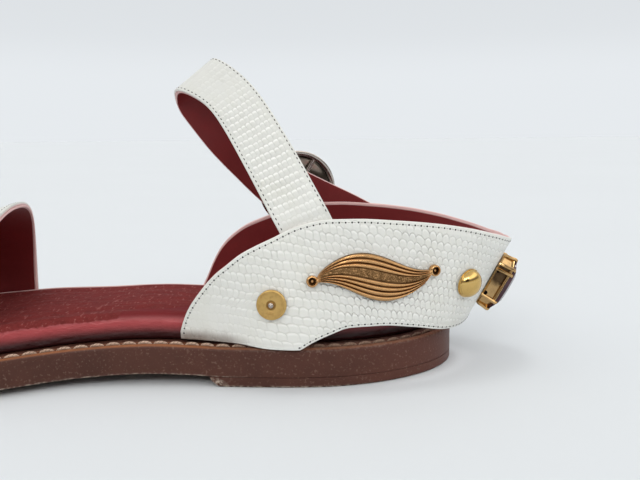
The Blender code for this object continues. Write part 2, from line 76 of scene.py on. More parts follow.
# Each row is one cross-section of the sole.
SOLE_COLUMNS = ("from_heel", "mid_line", "half_width", "bottom")
SOLE_ROWS = (
    (0.000, 0.0000, 0.0330, 0.0034),
    (0.050, 0.0001, 0.0330, 0.0034),
    (0.080, 0.0024, 0.0324, 0.0034),
    (0.092, 0.0043, 0.0320, 0.0037),
    (0.105, 0.0056, 0.0322, 0.0041),
    (0.115, 0.0063, 0.0325, 0.0039),
    (0.127, 0.0067, 0.0332, 0.0033),
    (0.150, 0.0044, 0.0378, 0.0026),
    (0.168, 0.0024, 0.0414, 0.0011),
    (0.184, 0.0006, 0.0436, 0.0000),
    (0.210, -0.0030, 0.0440, 0.0000),
    (0.232, -0.0058, 0.0440, 0.0014),
    (0.258, -0.0085, 0.0440, 0.0052),
)

# Heel band, as in the solids
BAND_WALL = 0.0024
BAND_FRONT = 0.0950
BAND_BEND = 0.0380
BAND_FOOT_Z = 0.0120
BAND_HEAD_Z = 0.0540
BAND_FOOT_BACK = 0.0040
BAND_HEAD_BACK = 0.0281

# Half widths of the side panels in front of the heel's bend. The near foot lies further in than the solid's,
# and its front part stands a little off the welt.
PANEL_COLUMNS = ("from_heel", "near_foot", "far_foot", "head")
PANEL_ROWS = (
    (0.0380, 0.0338, 0.0338, 0.0303),
    (0.0575, 0.0348, 0.0348, 0.0304),
    (0.0660, 0.0330, 0.0345, 0.0304),
    (0.0750, 0.0286, 0.0340, 0.0303),
    (0.0840, 0.0250, 0.0338, 0.0302),
    (0.0950, 0.0222, 0.0330, 0.0300),
)
PANEL_LIFT = 0.0008
PANEL_LIFT_AHEAD = (0.064, 0.080)

# Edges of the band from the panel's front edge (share 0) to the back of the heel (share 1).
BAND_TOP_COLUMNS = ("share", "near", "far")
BAND_TOP_ROWS = (
    (0.000, 0.0175, 0.0170),
    (0.006, 0.0198, 0.0186),
    (0.014, 0.0222, 0.0206),
    (0.028, 0.0255, 0.0238),
    (0.059, 0.0306, 0.0317),
    (0.082, 0.0339, 0.0363),
    (0.109, 0.0371, 0.0400),
    (0.133, 0.0393, 0.0424),
    (0.157, 0.0416, 0.0444),
    (0.178, 0.0434, 0.0458),
    (0.215, 0.0458, 0.0476),
    (0.263, 0.0484, 0.0496),
    (0.346, 0.0526, 0.0527),
    (0.429, 0.0543, 0.0543),
    (0.500, 0.0543, 0.0543),
    (0.569, 0.0534, 0.0534),
    (0.638, 0.0519, 0.0519),
    (0.706, 0.0498, 0.0498),
    (0.797, 0.0467, 0.0467),
    (0.900, 0.0440, 0.0440),
    (1.000, 0.0430, 0.0430),
)
BAND_ARCH_COLUMNS = ("share", "height")
BAND_ARCH_ROWS = (
    (0.000, 0.0000),
    (0.325, 0.0122),
    (0.375, 0.0153),
    (0.425, 0.0177),
    (0.482, 0.0197),
    (0.556, 0.0200),
    (0.632, 0.0187),
    (0.749, 0.0158),
    (0.820, 0.0152),
    (0.860, 0.0154),
    (0.930, 0.0165),
    (1.000, 0.0177),
)

# Ankle strap, as in the solids. Places along it are counted in rows.
STRAP_BACK_HALF = 0.00815
STRAP_THICKNESS = 0.0020
STRAP_COLUMNS = ("from_heel", "side", "height", "lean_deg", "front_half")
STRAP_ROWS = (
    (0.0495, -0.0291, 0.0440, 21.0, 0.0088),
    (0.0532, -0.0285, 0.0520, 22.0, 0.0088),
    (0.0566, -0.0264, 0.0585, 23.5, 0.0088),
    (0.0645, -0.0176, 0.0732, 26.0, 0.0088),
    (0.0728, -0.0073, 0.0872, 30.0, 0.0086),
    (0.0790, -0.0010, 0.0950, 33.0, 0.0084),
    (0.0854, 0.0034, 0.1002, 36.5, 0.0090),
    (0.0900, 0.0080, 0.1021, 38.5, 0.0095),
    (0.0912, 0.0126, 0.0996, 37.5, 0.0094),
    (0.0905, 0.0155, 0.0947, 35.5, 0.0088),
    (0.0862, 0.0172, 0.0872, 34.0, 0.0082),
    (0.0806, 0.0190, 0.0794, 37.0, 0.0080),
    (0.0728, 0.0228, 0.0706, 46.0, 0.0080),
    (0.0600, 0.0272, 0.0622, 57.0, 0.0115),
    (0.0487, 0.0294, 0.0562, 60.0, 0.0130),
    (0.0360, 0.0295, 0.0500, 61.0, 0.0120),
    (0.0290, 0.0296, 0.0462, 61.0, 0.0100),
)
BUCKLE_ROW = 13.54
TIP_FIRST_ROW = 12.9
TIP_LAST_ROW = 14.75
TIP_LIFT = 0.0017
TIP_HALF = 0.0076
TIP_ROUND = 0.9
TIP_BLUNT = 0.12

# Toe band, as in the solids
TOE_BAND_WALL = 0.0022
TOE_BAND_BACK = 0.1610
TOE_BAND_FRONT = 0.2020
TOE_BAND_SWEEP = 0.0070
TOE_BAND_BACK_RISE = 0.0460
TOE_BAND_FRONT_RISE = 0.0365
TOE_BAND_INSET = 0.0040
TOE_BAND_FULLNESS = 2.3

# Metal pieces, as in the solids
LEAF_START = (0.0521, 0.0351)
LEAF_END = (0.0126, 0.0371)
LEAF_BODY = (0.030, 0.965)
LEAF_TIP = 0.0005
LEAF_UPPER = 0.0073
LEAF_LOWER = 0.0077
LEAF_LEAN = 0.7
LEAF_THICKNESS = 0.0020
LEAF_EDGE = 0.45
EYELET_RADIUS = 0.0019
EYELET_THICKNESS = 0.0016
FLAT_STUD_AT = (0.0648, 0.0278)
FLAT_STUD_RADIUS = 0.0048
FLAT_STUD_THICKNESS = 0.0013
FLAT_STUD_PIN = 0.0012
DOME_STUD_AT = (-0.0007, 0.0312)
DOME_STUD_RADIUS = 0.0050
DOME_STUD_HEIGHT = 0.0038
JEWEL_HEIGHT = 0.0289
JEWEL_LONG = 0.0206
JEWEL_WIDE = 0.0180
JEWEL_CORNER = 0.0036
JEWEL_SADDLE = 0.0200
JEWEL_FLARE = 0.0008
SETTING_DEPTH = 0.0042
STONE_DEPTH = 0.0026
BUCKLE_RADIUS = 0.0154
BUCKLE_DEPTH = 0.0048
BUCKLE_WALL = 0.0012
BUCKLE_RIM = 0.0019
BUCKLE_CLEARANCE = 0.0006
BAR_RADIUS = 0.0009
BAR_INSET = 0.0002

# Details of the leather pieces
LEATHER_EDGE = 0.0004
BAND_STATIONS = 130
BAND_ROWS = 46
BAND_LINING_ROWS = 30
STRAP_LAYER_ROWS = 24
STRAP_OUTER_SHARE = 0.55
LINING_RUB = 0.004
CORNER_SOIL_HEIGHT = (0.0142, 0.0218)
CORNER_SOIL_AHEAD = (0.062, 0.083)
ARCH_SEAM_FROM = 0.330
ARCH_SEAM_INSET = 0.75
FRONT_SEAM_FOOT = 0.0012
STRAP_SEAM_ROWS = (1.2, 14.6)
STRAP_SEAM_INSET = 0.6
STRAP_SEAM_PITCH = 0.9
STITCH_HEIGHT = 0.00010

# Rows of scales on the band: height of the first one at the front, factors of run and of run squared by which
# they fall and narrow, the stretch of run in which they level out, and the lean of the scales
ROW_START = 0.0159
ROW_FALL = (0.0455, 0.54)
ROW_NARROWING = (2.34, 5.08)
ROW_LEVELLING = (0.100, 0.1263)
SCALE_LEAN = 0.15
SCALE_LEAN_FROM = 0.030

# Half lengths and half widths of the fine stitches
TOP_STITCH = (0.00032, 0.00030)
ARCH_STITCH = (0.00040, 0.00024)
LINK_STITCH = (0.00050, 0.00008)
STRAP_STITCH = (0.00048, 0.00017)

# Stitches of the welt: radius, share of the pitch, how far they rise at their middle and how deep they start
WELT_STITCH_RADIUS = 0.00058
WELT_STITCH_FILL = 0.96
WELT_STITCH_RISE = 0.0009
WELT_STITCH_SINK = 0.0008

# Relief of the insole's top: depths of its parts, half widths of its lines, and the trough beside its roll
TROUGH_DEPTH = 0.00045
TROUGH_AT = 0.0062
TROUGH_HALF = 0.0028
CREASE_DEPTH = 0.00030
CREASE_HALF = 0.0007
FOLD_HALF = 0.0006
WORN_DEPTH = 0.00018
RIPPLE_DEPTH = 0.00006

# Edge of the insole's worn middle, from the heel to the toe: its side at each distance
WORN_COLUMNS = ("from_heel", "side")
WORN_ROWS = (
    (0.0000, 0.0000),
    (0.0800, 0.0020),
    (0.0922, -0.0052),
    (0.0944, -0.0073),
    (0.1002, -0.0098),
    (0.1065, -0.0114),
    (0.1107, -0.0100),
    (0.1120, -0.0131),
    (0.1152, -0.0176),
    (0.1180, -0.0225),
    (0.1250, -0.0260),
    (0.2580, -0.0400),
)
FOLD_FROM = (0.1245, -0.0067)
FOLD_TO = (0.1152, -0.0176)
NAPPED_AHEAD = (0.1130, 0.1190)

# Relief of the leaves: the field's lower and upper bounds across the leaf, its depth, and the ribs
LEAF_FIELD = (-0.10, 0.32)
LEAF_FIELD_DEPTH = 0.00050
LEAF_RIB = 0.00060
LEAF_RIBS_BELOW = 4
LEAF_RIBS_ABOVE = 3
LEAF_THINNEST = 0.0004

# Details of the jewel: sunk windows in its long sides, bores in them, second bars, and the stone's bulge
WINDOW_SUNK = 0.0007
WINDOW_RIM = (0.0006, 0.0011)
BORE_RADIUS = 0.00075
BORE_DEPTH = 0.00025
BORES_AT = (-0.0052, 0.0038)
SECOND_BAR = 0.0021
STONE_BULGE = 0.0007

# Room: colours of its lights, ways to the dark middle, to the windows and to the sun, and the floor's reach
BANK_LEFT = (1.27, 1.27, 1.25)
BANK_RIGHT = (1.88, 1.88, 1.85)
BELOW_BANK = (0.26, 0.255, 0.25)
CEILING = (0.86, 0.86, 0.85)
DARK_MIDDLE = (0.05, 0.047, 0.043)
DARK_MIDDLE_AT = (0.0, -0.95, 0.30)
WINDOW = (7.0, 7.0, 6.9)
WINDOWS_AT = ((-0.45, -0.72, 0.52), (-0.17, -0.78, 0.56), (0.12, -0.80, 0.56))
SUN_AT = (-0.15, 0.12, 1.0)
SUN_ANGLE = 12.0
FLOOR_REACH = 12.0

# Camera of the photo: place, turns in degrees, and lens and sensor in millimetres
CAMERA_AT = (0.05486, -0.24485, 0.08065)
CAMERA_YAW = 3.5
CAMERA_DOWN = 8.673
CAMERA_ROLL = -0.5
CAMERA_LENS = 38.8125
CAMERA_SENSOR = 36.0

BODY = "root"
MERGE_WITHIN = 2e-6


class SandalSizes(bpy.types.PropertyGroup):
    """Sizes of the finish that a user would change."""

    scale_row: bpy.props.FloatProperty(
        name="Scale row",
        description="Height of a row of scales at the panel's front",
        default=0.0031,
        unit="LENGTH",
    )
    scale_length: bpy.props.FloatProperty(
        name="Scale length", description="Length of one embossed scale", default=0.0022, unit="LENGTH"
    )
    strap_row: bpy.props.FloatProperty(
        name="Strap row",
        description="Height of a row of scales on the strap",
        default=0.0027,
        unit="LENGTH",
    )
    strap_scale: bpy.props.FloatProperty(
        name="Strap scale", description="Length of one scale on the strap", default=0.0017, unit="LENGTH"
    )
    seam_inset: bpy.props.FloatProperty(
        name="Seam inset",
        description="Distance of the seams from the leather's edges",
        default=0.0011,
        unit="LENGTH",
    )
    seam_pitch: bpy.props.FloatProperty(
        name="Seam pitch", description="Distance from stitch to stitch", default=0.00205, unit="LENGTH"
    )
    welt_pitch: bpy.props.FloatProperty(
        name="Welt pitch",
        description="Distance from stitch to stitch on the welt",
        default=0.0052,
        unit="LENGTH",
    )
    welt_inset: bpy.props.FloatProperty(
        name="Welt seam inset",
        description="Distance of the welt's seam from its rim",
        default=0.0036,
        unit="LENGTH",
    )
    outer_layer: bpy.props.FloatProperty(
        name="Outer layer", description="Thickness of the white leather", default=0.0013, unit="LENGTH"
    )


class SandalColours(bpy.types.PropertyGroup):
    """Colours of the finishes."""

    white: bpy.props.FloatVectorProperty(
        name="White leather",
        description="Embossed outer leather",
        default=(0.775, 0.775, 0.735),
        subtype="COLOR",
    )
    cut_edge: bpy.props.FloatVectorProperty(
        name="Cut edge", description="Raw edge of the lining", default=(0.76, 0.50, 0.48), subtype="COLOR"
    )
    lining: bpy.props.FloatVectorProperty(
        name="Lining",
        description="Red lining of the straps",
        default=(0.155, 0.013, 0.0135),
        subtype="COLOR",
    )
    insole: bpy.props.FloatVectorProperty(
        name="Insole",
        description="Smooth red leather of the insole",
        default=(0.37, 0.048, 0.052),
        subtype="COLOR",
    )
    insole_worn: bpy.props.FloatVectorProperty(
        name="Worn insole",
        description="Insole worn to a nap",
        default=(0.150, 0.0235, 0.0220),
        subtype="COLOR",
    )
    sole: bpy.props.FloatVectorProperty(
        name="Sole", description="Waxed edge of the sole", default=(0.074, 0.027, 0.018), subtype="COLOR"
    )
    welt: bpy.props.FloatVectorProperty(
        name="Welt",
        description="Top of the welt where it is bare",
        default=(0.31, 0.118, 0.050),
        subtype="COLOR",
    )
    thread: bpy.props.FloatVectorProperty(
        name="Welt thread",
        description="Waxed thread of the welt",
        default=(0.52, 0.37, 0.28),
        subtype="COLOR",
    )
    seam: bpy.props.FloatVectorProperty(
        name="Seam",
        description="Dark thread of the fine seams",
        default=(0.045, 0.045, 0.042),
        subtype="COLOR",
    )
    gold: bpy.props.FloatVectorProperty(
        name="Gold", description="Domed studs and setting", default=(0.68, 0.45, 0.155), subtype="COLOR"
    )
    stud: bpy.props.FloatVectorProperty(
        name="Flat stud", description="Flat studs", default=(0.64, 0.42, 0.150), subtype="COLOR"
    )
    copper: bpy.props.FloatVectorProperty(
        name="Copper", description="Leaves", default=(0.58, 0.33, 0.145), subtype="COLOR"
    )
    steel: bpy.props.FloatVectorProperty(
        name="Grey metal", description="Buckle", default=(0.46, 0.41, 0.37), subtype="COLOR"
    )
    stone: bpy.props.FloatVectorProperty(
        name="Stone", description="Step-cut stone", default=(0.045, 0.018, 0.026), subtype="COLOR"
    )


class SandalStage(bpy.types.PropertyGroup):
    """Floor and light."""

    floor: bpy.props.FloatVectorProperty(
        name="Floor", description="Pale floor", default=(0.688, 0.713, 0.735), subtype="COLOR"
    )
    backdrop: bpy.props.FloatVectorProperty(
        name="Backdrop",
        description="Light of the room behind the sandal",
        default=(0.730, 0.760, 0.787),
        subtype="COLOR",
    )
    sun: bpy.props.FloatProperty(name="Sun", description="Strength of the soft lamp above", default=0.3)


def cubic(t, start, end, start_slope, end_slope):
    """Hermite cubic from start to end over t from 0 to 1, with the slopes at its ends."""
    first = (1 + 2 * t) * (1 - t) ** 2 * start + t * (1 - t) ** 2 * start_slope
    return first + t * t * (3 - 2 * t) * end + t * t * (t - 1) * end_slope


def smooth(rows, columns, name, at):
    """A column of a table as a monotone cubic through its rows, at any places of the first column."""
    table = np.array(rows)
    x, y = table[:, 0], table[:, columns.index(name)]
    step, slope = np.diff(x), np.diff(y) / np.diff(x)
    same_way = slope[:-1] * slope[1:] > 0
    weight_a, weight_b = 2 * step[1:] + step[:-1], step[1:] + 2 * step[:-1]
    safe = np.where(same_way, slope[:-1], 1.0), np.where(same_way, slope[1:], 1.0)
    inner = (weight_a + weight_b) / (weight_a / safe[0] + weight_b / safe[1])
    tangent = np.concatenate([[slope[0]], np.where(same_way, inner, 0.0), [slope[-1]]])
    at = np.clip(np.asarray(at, float), x[0], x[-1])
    i = np.clip(np.searchsorted(x, at, side="right") - 1, 0, len(step) - 1)
    t = (at - x[i]) / step[i]
    return cubic(t, y[i], y[i + 1], step[i] * tangent[i], step[i] * tangent[i + 1])


def rounded(distance, reach, fullness):
    """Superellipse: share of the full width at a distance from a rounded end whose curve is reach long."""
    t = np.clip(1 - np.asarray(distance) / reach, 0.0, 1.0)
    return (1 - t**fullness) ** (1 / fullness)


def ease(value, low, high):
    """Smooth step from 0 at low to 1 at high."""
    t = np.clip((np.asarray(value, float) - low) / (high - low), 0.0, 1.0)
    return t * t * (3 - 2 * t)


def unit(vectors):
    """Vectors scaled to length 1."""
    return vectors / np.maximum(np.linalg.norm(vectors, axis=-1, keepdims=True), 1e-12)


def arc_length(points):
    """Running length of a line of points, from 0."""
    steps = np.linalg.norm(np.diff(points, axis=0), axis=1)
    return np.concatenate([[0.0], np.cumsum(steps)])


def world(from_heel, side, height):
    """Points in the sandal's frame, from distances ahead of the heel's back."""
    from_heel, side, height = np.broadcast_arrays(from_heel, side, height)
    return np.stack([HEEL_BACK_X - from_heel, CENTRE_Y + side, height], axis=-1)


def sole_plan(inset, stop=None, count=150):
    """Stations from the heel, and the near and far edges of the sole's outline drawn in by inset."""
    end = SOLE_LENGTH - inset
    share = 0.5 - 0.5 * np.cos(np.linspace(0.0, math.pi, count))
    if stop is not None:
        end = stop - inset
        share = 1.0 - np.cos(np.linspace(0.0, math.pi / 2, count))
    station = inset + share * (end - inset)
    half = smooth(SOLE_ROWS, SOLE_COLUMNS, "half_width", station) - inset
    half = half * rounded(station - inset, HEEL_CURVE - inset, HEEL_FULLNESS)
    half = half * rounded(SOLE_LENGTH - inset - station, TOE_CURVE - inset, TOE_FULLNESS)
    mid = smooth(SOLE_ROWS, SOLE_COLUMNS, "mid_line", station)
    return station, mid - half, mid + half


def sole_bottom(station):
    """Height of the sole's underside at stations from the heel."""
    return smooth(SOLE_ROWS, SOLE_COLUMNS, "bottom", station)


def insole_top(station):
    """Height of the insole's top: the sole's underside, its thickness, a gap and the pad."""
    return sole_bottom(station) + SOLE_THICKNESS + GAP + INSOLE_HEIGHT


def band_edges(share, side):
    """Lower and upper edge heights of the heel band."""
    ahead = BAND_FRONT - 2 * np.minimum(share, 0.5) * (BAND_FRONT - BAND_BEND)
    rest = sole_bottom(ahead) + SOLE_THICKNESS + GAP + PANEL_LIFT * ease(ahead, *PANEL_LIFT_AHEAD)
    arch = smooth(BAND_ARCH_ROWS, BAND_ARCH_COLUMNS, "height", share)
    low = np.where(share < 0.5, np.maximum(arch, rest), arch)
    return low, smooth(BAND_TOP_ROWS, BAND_TOP_COLUMNS, "near" if side < 0 else "far", share)


def band_surface(share, height, side):
    """Ruled surface between a foot guide and a head guide: along the panel first, then round the heel on two
    ellipses, the upper one longer."""
    share, height = np.broadcast_arrays(np.asarray(share, float), np.asarray(height, float))
    ahead = BAND_FRONT - 2 * np.minimum(share, 0.5) * (BAND_FRONT - BAND_BEND)
    turn = np.maximum(2 * share - 1, 0) * math.pi / 2
    foot = "near_foot" if side < 0 else "far_foot"
    foot_half = smooth(PANEL_ROWS, PANEL_COLUMNS, foot, ahead) * np.cos(turn)
    head_half = smooth(PANEL_ROWS, PANEL_COLUMNS, "head", ahead) * np.cos(turn)
    foot_ahead = ahead - (BAND_BEND + BAND_FOOT_BACK) * np.sin(turn)
    head_ahead = ahead - (BAND_BEND + BAND_HEAD_BACK) * np.sin(turn)
    rise = (height - BAND_FOOT_Z) / (BAND_HEAD_Z - BAND_FOOT_Z)
    half = foot_half + rise * (head_half - foot_half)
    return world(foot_ahead + rise * (head_ahead - foot_ahead), side * half, height)


def band_frame(share, height, side):
    """Points of the band's outer face with their directions towards the heel's back, up and outwards."""
    step = 2e-4
    here = band_surface(share, height, side)
    back = band_surface(share + step, height, side) - band_surface(share - step, height, side)
    up = band_surface(share, height + step, side) - band_surface(share, height - step, side)
    out = unit(np.cross(back, up)) * -side
    return here, back / (2 * step), up / (2 * step), out


def band_share(from_heel, height):
    """Share of the way round the band at distances ahead of the heel's back."""
    from_heel, height = np.broadcast_arrays(np.asarray(from_heel, float), np.asarray(height, float))
    rise = (height - BAND_FOOT_Z) / (BAND_HEAD_Z - BAND_FOOT_Z)
    reach = BAND_BEND + BAND_FOOT_BACK + rise * (BAND_HEAD_BACK - BAND_FOOT_BACK)
    on_panel = 0.5 * (BAND_FRONT - from_heel) / (BAND_FRONT - BAND_BEND)
    round_heel = 0.5 + np.arcsin(np.clip((BAND_BEND - from_heel) / reach, 0.0, 1.0)) / math.pi
    return np.where(from_heel > BAND_BEND, on_panel, round_heel)


def strap_column(name, row):
    """Cubic through a column of the strap's rows, with each row's slope taken from its neighbours."""
    value = np.array(STRAP_ROWS)[:, STRAP_COLUMNS.index(name)]
    tangent = np.gradient(value)
    i = np.clip(np.floor(row).astype(int), 0, len(value) - 2)
    return cubic(row - i, value[i], value[i + 1], tangent[i], tangent[i + 1])


def strap_line(row):
    """Middle line of the ankle strap, its width direction and its outward normal."""

    def middle(at):
        at = np.clip(at, 0, len(STRAP_ROWS) - 1)
        return world(strap_column("from_heel", at), strap_column("side", at), strap_column("height", at))

    nudge = 0.02
    run = unit(middle(row + nudge) - middle(row - nudge))
    lean = np.radians(strap_column("lean_deg", row))
    wide = np.stack([np.cos(lean), 0 * lean, np.sin(lean)], axis=1)
    return middle(row), wide, unit(np.cross(wide, run))


def toe_band_surface(across, along):
    """Arches over the forefoot from the near welt (across 0) to the far welt (across 1), as
    superellipses."""
    angle = math.pi * np.asarray(across)
    swept = TOE_BAND_SWEEP * np.sin(angle) ** 2
    from_heel = TOE_BAND_BACK + along * (TOE_BAND_FRONT - TOE_BAND_BACK) - swept
    mid = smooth(SOLE_ROWS, SOLE_COLUMNS, "mid_line", from_heel)
    half = smooth(SOLE_ROWS, SOLE_COLUMNS, "half_width", from_heel)
    half = half * rounded(SOLE_LENGTH - from_heel, TOE_CURVE, TOE_FULLNESS) - TOE_BAND_INSET
    rise = TOE_BAND_BACK_RISE + along * (TOE_BAND_FRONT_RISE - TOE_BAND_BACK_RISE)
    power = 2 / TOE_BAND_FULLNESS
    side = mid - half * np.sign(np.cos(angle)) * np.abs(np.cos(angle)) ** power
    base = sole_bottom(from_heel) + SOLE_THICKNESS + GAP
    return world(from_heel, side, base + rise * np.sin(angle) ** power)


def grid_quads(rows, columns, wrap_rows=False, wrap_columns=False):
    """Corner numbers of the quads of a grid of points numbered row by row."""
    r = np.arange(rows if wrap_rows else rows - 1)[:, None]
    c = np.arange(columns if wrap_columns else columns - 1)[None, :]
    r_next, c_next = (r + 1) % rows, (c + 1) % columns
    corners = (r * columns + c, r * columns + c_next, r_next * columns + c_next, r_next * columns + c)
    return np.stack(corners, axis=-1).reshape(-1, 4)


def ring_cap(size):
    """Quads that close a ring of points, from each point of its first half to the one across from it."""
    i = np.arange(size // 2 - 1)
    return np.stack([i, i + 1, size - 2 - i, size - 1 - i], axis=1)


def repeated(quads, points, copies):
    """The quads of one shape of so many points, once for each of its copies."""
    return (quads[None] + points * np.arange(copies)[:, None, None]).reshape(-1, 4)


class Piece:
    """Collects grids of points, each with its place in a finish's own pattern, and makes one mesh of them.
    The attribute lay holds two places in the pattern and a depth, and wear holds a share from 0 to 1."""

    def __init__(self):
        self.points, self.quads, self.slots, self.lay, self.wear = [], [], [], [], []
        self.count = 0

    def add(self, points, quads, lay=None, wear=None, slot=0):
        """Adds points and the quads between them. Where no lay is given, it is the points' own place."""
        flat = np.asarray(points, float).reshape(-1, 3)
        self.points.append(flat)
        self.quads.append(np.asarray(quads) + self.count)
        self.slots.append(np.broadcast_to(np.asarray(slot), len(quads)))
        self.lay.append(flat if lay is None else np.asarray(lay, float).reshape(-1, 3))
        worn = 0.0 if wear is None else np.asarray(wear, float).ravel()
        self.wear.append(np.broadcast_to(worn, len(flat)))
        self.count += len(flat)

    def grid(self, points, lay=None, wear=None, slot=0, wrap_rows=False, wrap_columns=False):
        """Adds rows by columns of points, joined to their neighbours and closed round where asked."""
        rows, columns = points.shape[:2]
        self.add(points, grid_quads(rows, columns, wrap_rows, wrap_columns), lay, wear, slot)

    def make(self, name, materials, replaces=(), crease_deg=50.0):
        """One mesh of all that was added: doubles merged, faces outwards, smooth up to the crease's
        angle."""
        mesh = bpy.data.meshes.new(name)
        mesh.from_pydata(np.concatenate(self.points), [], np.concatenate(self.quads).tolist())
        mesh.polygons.foreach_set("material_index", np.concatenate(self.slots).astype(np.int32))
        lay = mesh.attributes.new("lay", "FLOAT_VECTOR", "POINT")
        lay.data.foreach_set("vector", np.concatenate(self.lay).astype(np.float32).ravel())
        wear = mesh.attributes.new("wear", "FLOAT", "POINT")
        wear.data.foreach_set("value", np.concatenate(self.wear).astype(np.float32))
        work = bmesh.new()
        work.from_mesh(mesh)
        bmesh.ops.remove_doubles(work, verts=work.verts, dist=MERGE_WITHIN)
        bmesh.ops.recalc_face_normals(work, faces=work.faces)
        work.to_mesh(mesh)
        work.free()
        for material in materials:
            mesh.materials.append(material)
        mesh.shade_smooth()
        mesh.set_sharp_from_angle(angle=math.radians(crease_deg))
        made = bpy.data.objects.new(name, mesh)
        bpy.context.scene.collection.objects.link(made)
        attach(made, BODY)
        if replaces:
            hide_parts(*replaces)
        return made


def layer_ring(low, high, outer, inner, rows, edge=LEATHER_EDGE):
    """Closed cross-sections of one layer of leather: up its outer face, over a rounded edge, down its inner
    face and round the lower edge. Low and high are one place per station along the other way, outer and
    inner are depths. Gives places and depths, stations by ring points."""
    low, high = np.broadcast_arrays(np.atleast_1d(low), np.atleast_1d(high))
    low, high = low[:, None], high[:, None]
    climb = np.linspace(0.0, 1.0, rows)[None, :]
    bend = np.linspace(0.0, math.pi / 2, 4)[None, :]
    first, rest = bend, bend[:, 1:]
    round_depth = min(edge, (inner - outer) / 2)
    reach = high - low - 2 * edge
    places = [
        low + edge + climb * reach,
        high - edge + edge * np.sin(rest),
        high - edge + edge * np.cos(first),
        high - edge - climb[:, 1:] * reach,
        low + edge - edge * np.sin(rest),
        low + edge - edge * np.cos(first[:, :-1]),
    ]
    depths = [
        outer + 0 * climb,
        outer + round_depth * (1 - np.cos(rest)),
        inner - round_depth * (1 - np.sin(first)),
        inner + 0 * climb[:, 1:],
        inner - round_depth * (1 - np.cos(rest)),
        outer + round_depth * (1 - np.sin(first[:, :-1])),
    ]
    depths = [np.broadcast_to(d, p.shape) for d, p in zip(depths, places)]
    return np.concatenate(places, axis=1), np.concatenate(depths, axis=1)


def end_caps(stations, rows):
    """Quads that close both ends of a layer made of such cross-sections."""
    ring = 2 * rows + 12
    i = np.arange(-3, rows + 2)
    j = 2 * rows + 5 - i
    cap = np.stack([i, i + 1, j - 1, j], axis=1) % ring
    return np.concatenate([cap, cap + (stations - 1) * ring])


def add_layer(piece, points, lay, rows, wear=None):
    """Adds a layer's cross-sections, stations by ring points, closed round the ring and capped at its
    ends."""
    stations, ring = points.shape[:2]
    quads = np.concatenate([grid_quads(stations, ring, wrap_columns=True), end_caps(stations, rows)])
    piece.add(points, quads, lay, wear)


def turned(profile, steps=40):
    """A profile of (radius, height) points spun about Z: x = r cos a, y = r sin a, z = height."""
    radius, height = np.array(profile).T
    angle = np.linspace(0.0, 2 * math.pi, steps, endpoint=False)
    x = radius[:, None] * np.cos(angle)
    y = radius[:, None] * np.sin(angle)
    return np.stack([x, y, np.broadcast_to(height[:, None], x.shape)], axis=-1)


def quarter(radius, height, steps):
    """Quarter ellipse from the top of a dome down to its rim, as (radius, height)."""
    angle = np.linspace(0.0, math.pi / 2, steps)
    return list(zip(radius * np.sin(angle), height * np.cos(angle)))


def capped(rings):
    """Rings of points with both ends drawn together to their middles."""
    ends = rings[[0, -1]]
    tips = np.broadcast_to(ends.mean(axis=1, keepdims=True), ends.shape)
    return np.concatenate([tips[:1], rings, tips[1:]])


def seated(points, from_heel, height, side, lift):
    """Moves points made about Z onto the band: their Z outwards, their Y up the band."""
    here, _, up, out = band_frame(band_share(from_heel, height), height, side)
    up, out = unit(up), unit(out)
    right = unit(np.cross(up, out))
    return here + out * lift + points @ np.stack([right, np.cross(out, right), out])


def beads(centre, along, out, long, wide, high, rings=5, around=6):
    """Ellipsoids, one for each centre: half axes long, wide and high along, across and out of the
    surface."""
    across = unit(np.cross(out, along))
    lat = np.linspace(-math.pi / 2, math.pi / 2, rings)[:, None]
    lon = np.linspace(0.0, 2 * math.pi, around, endpoint=False)[None, :]
    a, b, c = np.sin(lat) + 0 * lon, np.cos(lat) * np.cos(lon), np.cos(lat) * np.sin(lon)
    shape = a[..., None, None] * along * long + b[..., None, None] * across * wide
    shape = np.moveaxis(shape + c[..., None, None] * out * high + centre, 2, 0)
    quads = grid_quads(rings, around, wrap_columns=True)
    return shape.reshape(-1, 3), repeated(quads, rings * around, len(centre))


